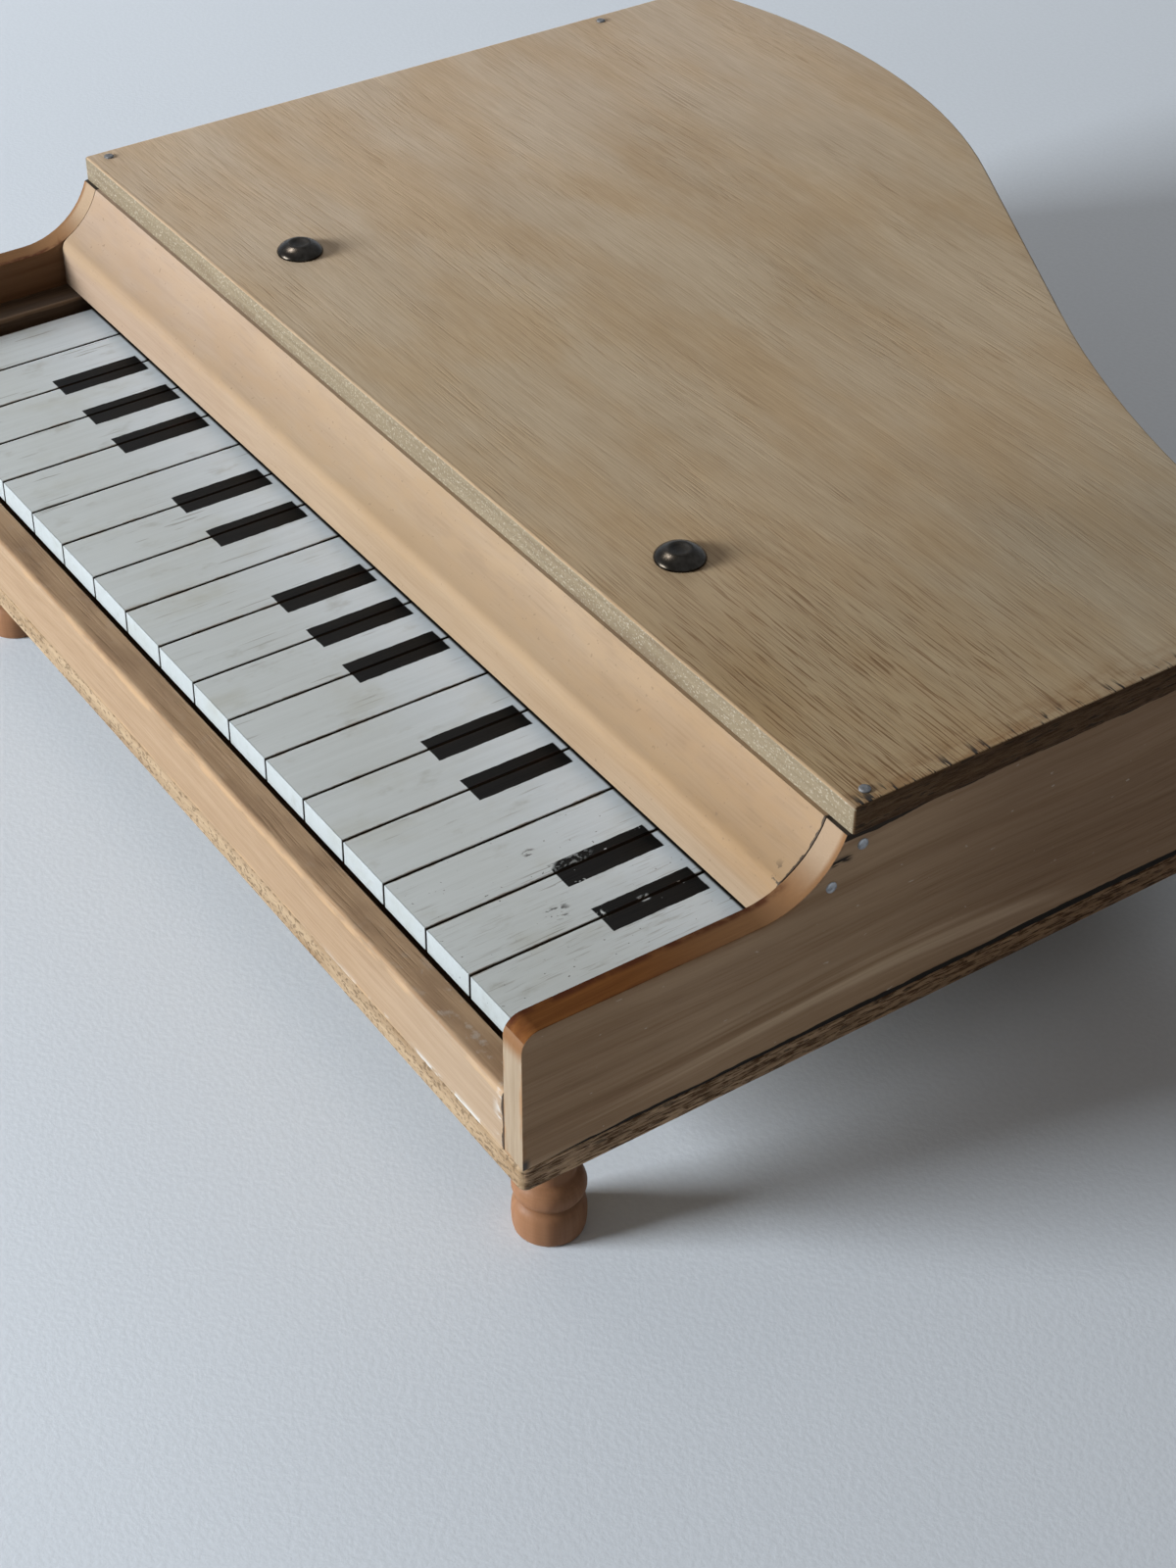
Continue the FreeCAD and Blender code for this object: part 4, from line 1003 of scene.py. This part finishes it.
def drive_nails():
    """Nail heads: thin discs with a rolled rim, standing on the wood."""
    # Painted light: the lid nails are painted darker and the side nails, on the shaded side,
    # brighter, for the reflections they show.
    finishes = {"lid_nails": nail_steel("lid_nail_painted_dim", (0.125, 0.125, 0.128), (0.06, 0.06, 0.061)),
                "side_nails": nail_steel("side_nail_painted_bright", (0.44, 0.45, 0.47), (0.22, 0.22, 0.225))}
    for node, finish in finishes.items():
        made = bmesh.new()
        for spot, facing in nail_spots(node):
            bm = turned(NAIL, steps=20)
            turn = facing.to_track_quat("Z", "Y").to_matrix()
            bmesh.ops.rotate(bm, verts=bm.verts, cent=(0, 0, 0), matrix=turn)
            bmesh.ops.translate(bm, verts=bm.verts, vec=spot)
            add_to(made, bm)
        piece(made, node.replace("nails", "nail_heads"), (finish,),
              stands_for=[node], even=False)


def nail_spots(node):
    """Where the nail heads of a solid stand, and which way they face."""
    bm = bmesh.new()
    bm.from_mesh(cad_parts[node].data)
    bmesh.ops.remove_doubles(bm, verts=bm.verts, dist=WELD)
    spots = []
    for nail in groups(bm.verts, lambda vert: [edge.other_vert(vert) for edge in vert.link_edges]):
        x, y, z = ((low + high) / 2 for low, high in spans(nail))
        if node == "lid_nails":
            spots.append((Vector((x, y, LID_TOP)), Vector((0, 0, 1))))
        else:
            outward = 1 if x > 0 else -1
            spots.append((Vector((outward * CASE_RIGHT, y, z)), Vector((outward, 0, 0))))
    bm.free()
    return spots


# Keyboard and action

NUMBERS = range(1, 19)  # keys and hammers, from the bass


def fit_keys():
    finish = painted_key()
    flank = key_flank()
    for number in NUMBERS:
        node = f"key_{number:02d}"
        bm = merged_copy(node)
        soften(bm, sharp_edges(bm, 20), 0.13 * MM)
        for face in bm.faces:
            face.material_index = 1 if abs(face.normal.x) > 0.97 else 0
        mark_wear(bm, margin=0.5 * MM, least_area=3e-5)
        piece(bm, f"white_key_{number:02d}", (finish, flank),
              f"key_lever_{number:02d}", [node])


def dress_action():
    """The hidden action keeps its solids and gets its own finishes."""
    inside = {
        "back_rest_rail": plain_wood(), "front_stop_felt": red_felt(), "hammer_axle": steel_wire(),
        "tone_block": iron_block(),
    }
    inside["hammer_rail"] = inside["back_rest_rail"]
    inside["back_rest_felt"] = inside["front_stop_felt"]
    inside["key_pivot_rod"] = inside["tone_rods"] = inside["hammer_axle"]
    beech = hammer_wood()
    for number in NUMBERS:
        inside[f"hammer_{number:02d}"] = beech
    for node, finish in inside.items():
        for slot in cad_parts[node].material_slots:
            slot.material = finish


# Table, light and camera

def set_table():
    bm = bmesh.new()
    bmesh.ops.create_grid(bm, x_segments=1, y_segments=1, size=3.0)
    mesh = bpy.data.meshes.new("table")
    bm.to_mesh(mesh)
    bm.free()
    table = bpy.data.objects.new("table", mesh)
    mesh.materials.append(table_top())
    bpy.context.scene.collection.objects.link(table)


DAYLIGHT = (0.94, 0.98, 1.0)
LAMP_AWAY = 1.6


def hang_lamp(name, turn, rise, wide, tall, power, colour=DAYLIGHT):
    """A window of light, so many degrees round from the keyboard's front and above the table."""
    lamp = bpy.data.lights.new(name, "AREA")
    lamp.shape = "RECTANGLE"
    lamp.size = wide
    lamp.size_y = tall
    lamp.energy = power
    lamp.color = colour
    hung = bpy.data.objects.new(name, lamp)
    turn, rise = math.radians(turn), math.radians(rise)
    level = math.cos(rise)
    hung.location = LAMP_AWAY * Vector((-math.sin(turn) * level, -math.cos(turn) * level,
                                        math.sin(rise)))
    hung.rotation_euler = (-hung.location).to_track_quat("-Z", "Y").to_euler()
    bpy.context.scene.collection.objects.link(hung)
    return hung


def light_room():
    """One window in front, a weak one behind, and a small one that only shows as a highlight."""
    hang_lamp("window", turn=18, rise=15, wide=0.62, tall=0.42, power=50.0)
    fill = hang_lamp("far_window", turn=125, rise=16, wide=1.1, tall=0.5, power=12.5)
    fill.visible_glossy = False
    glint = hang_lamp("glint", turn=70, rise=57, wide=0.34, tall=0.34, power=18.0,
                      colour=(1.0, 0.97, 0.94))
    glint.visible_diffuse = False
    world = bpy.data.worlds.new("room")
    bpy.context.scene.world = world
    world.use_nodes = True
    room = world.node_tree
    sky = room.nodes["Background"]
    sky.inputs["Color"].default_value = (1.0, 0.90, 0.80, 1.0)
    sky.inputs["Strength"].default_value = 0.15
    wall = room.nodes.new("ShaderNodeBackground")
    wall.inputs["Color"].default_value = BACKDROP
    blend = room.nodes.new("ShaderNodeMixShader")
    room.links.new(seen_directly(room), blend.inputs[0])
    room.links.new(sky.outputs["Background"], blend.inputs[1])
    room.links.new(wall.outputs["Background"], blend.inputs[2])
    room.links.new(blend.outputs["Shader"], room.nodes["World Output"].inputs["Surface"])
    bpy.context.scene.view_settings.view_transform = "Standard"


def set_camera():
    """The photograph's view, fitted to the straight edges of the case."""
    lens = bpy.data.cameras.new("photo_view")
    lens.lens = 65.27
    lens.sensor_width = 36.0
    lens.shift_y = -0.01025
    lens.clip_start = 0.01
    camera = bpy.data.objects.new("photo_view", lens)
    camera.location = (0.4116, -0.2960, 0.3623)
    camera.rotation_euler = (0.90097, -0.00523, 0.97619)
    bpy.context.scene.collection.objects.link(camera)
    bpy.context.scene.camera = camera


lay_board()
raise_sides()
bend_side()
fit_rail()
fit_cheeks()
fit_fallboard()
fit_keys()
dress_action()
lay_lid()
turn_legs()
drive_screws()
drive_nails()
set_table()
light_room()
set_camera()

bpy.context.view_layer.update()
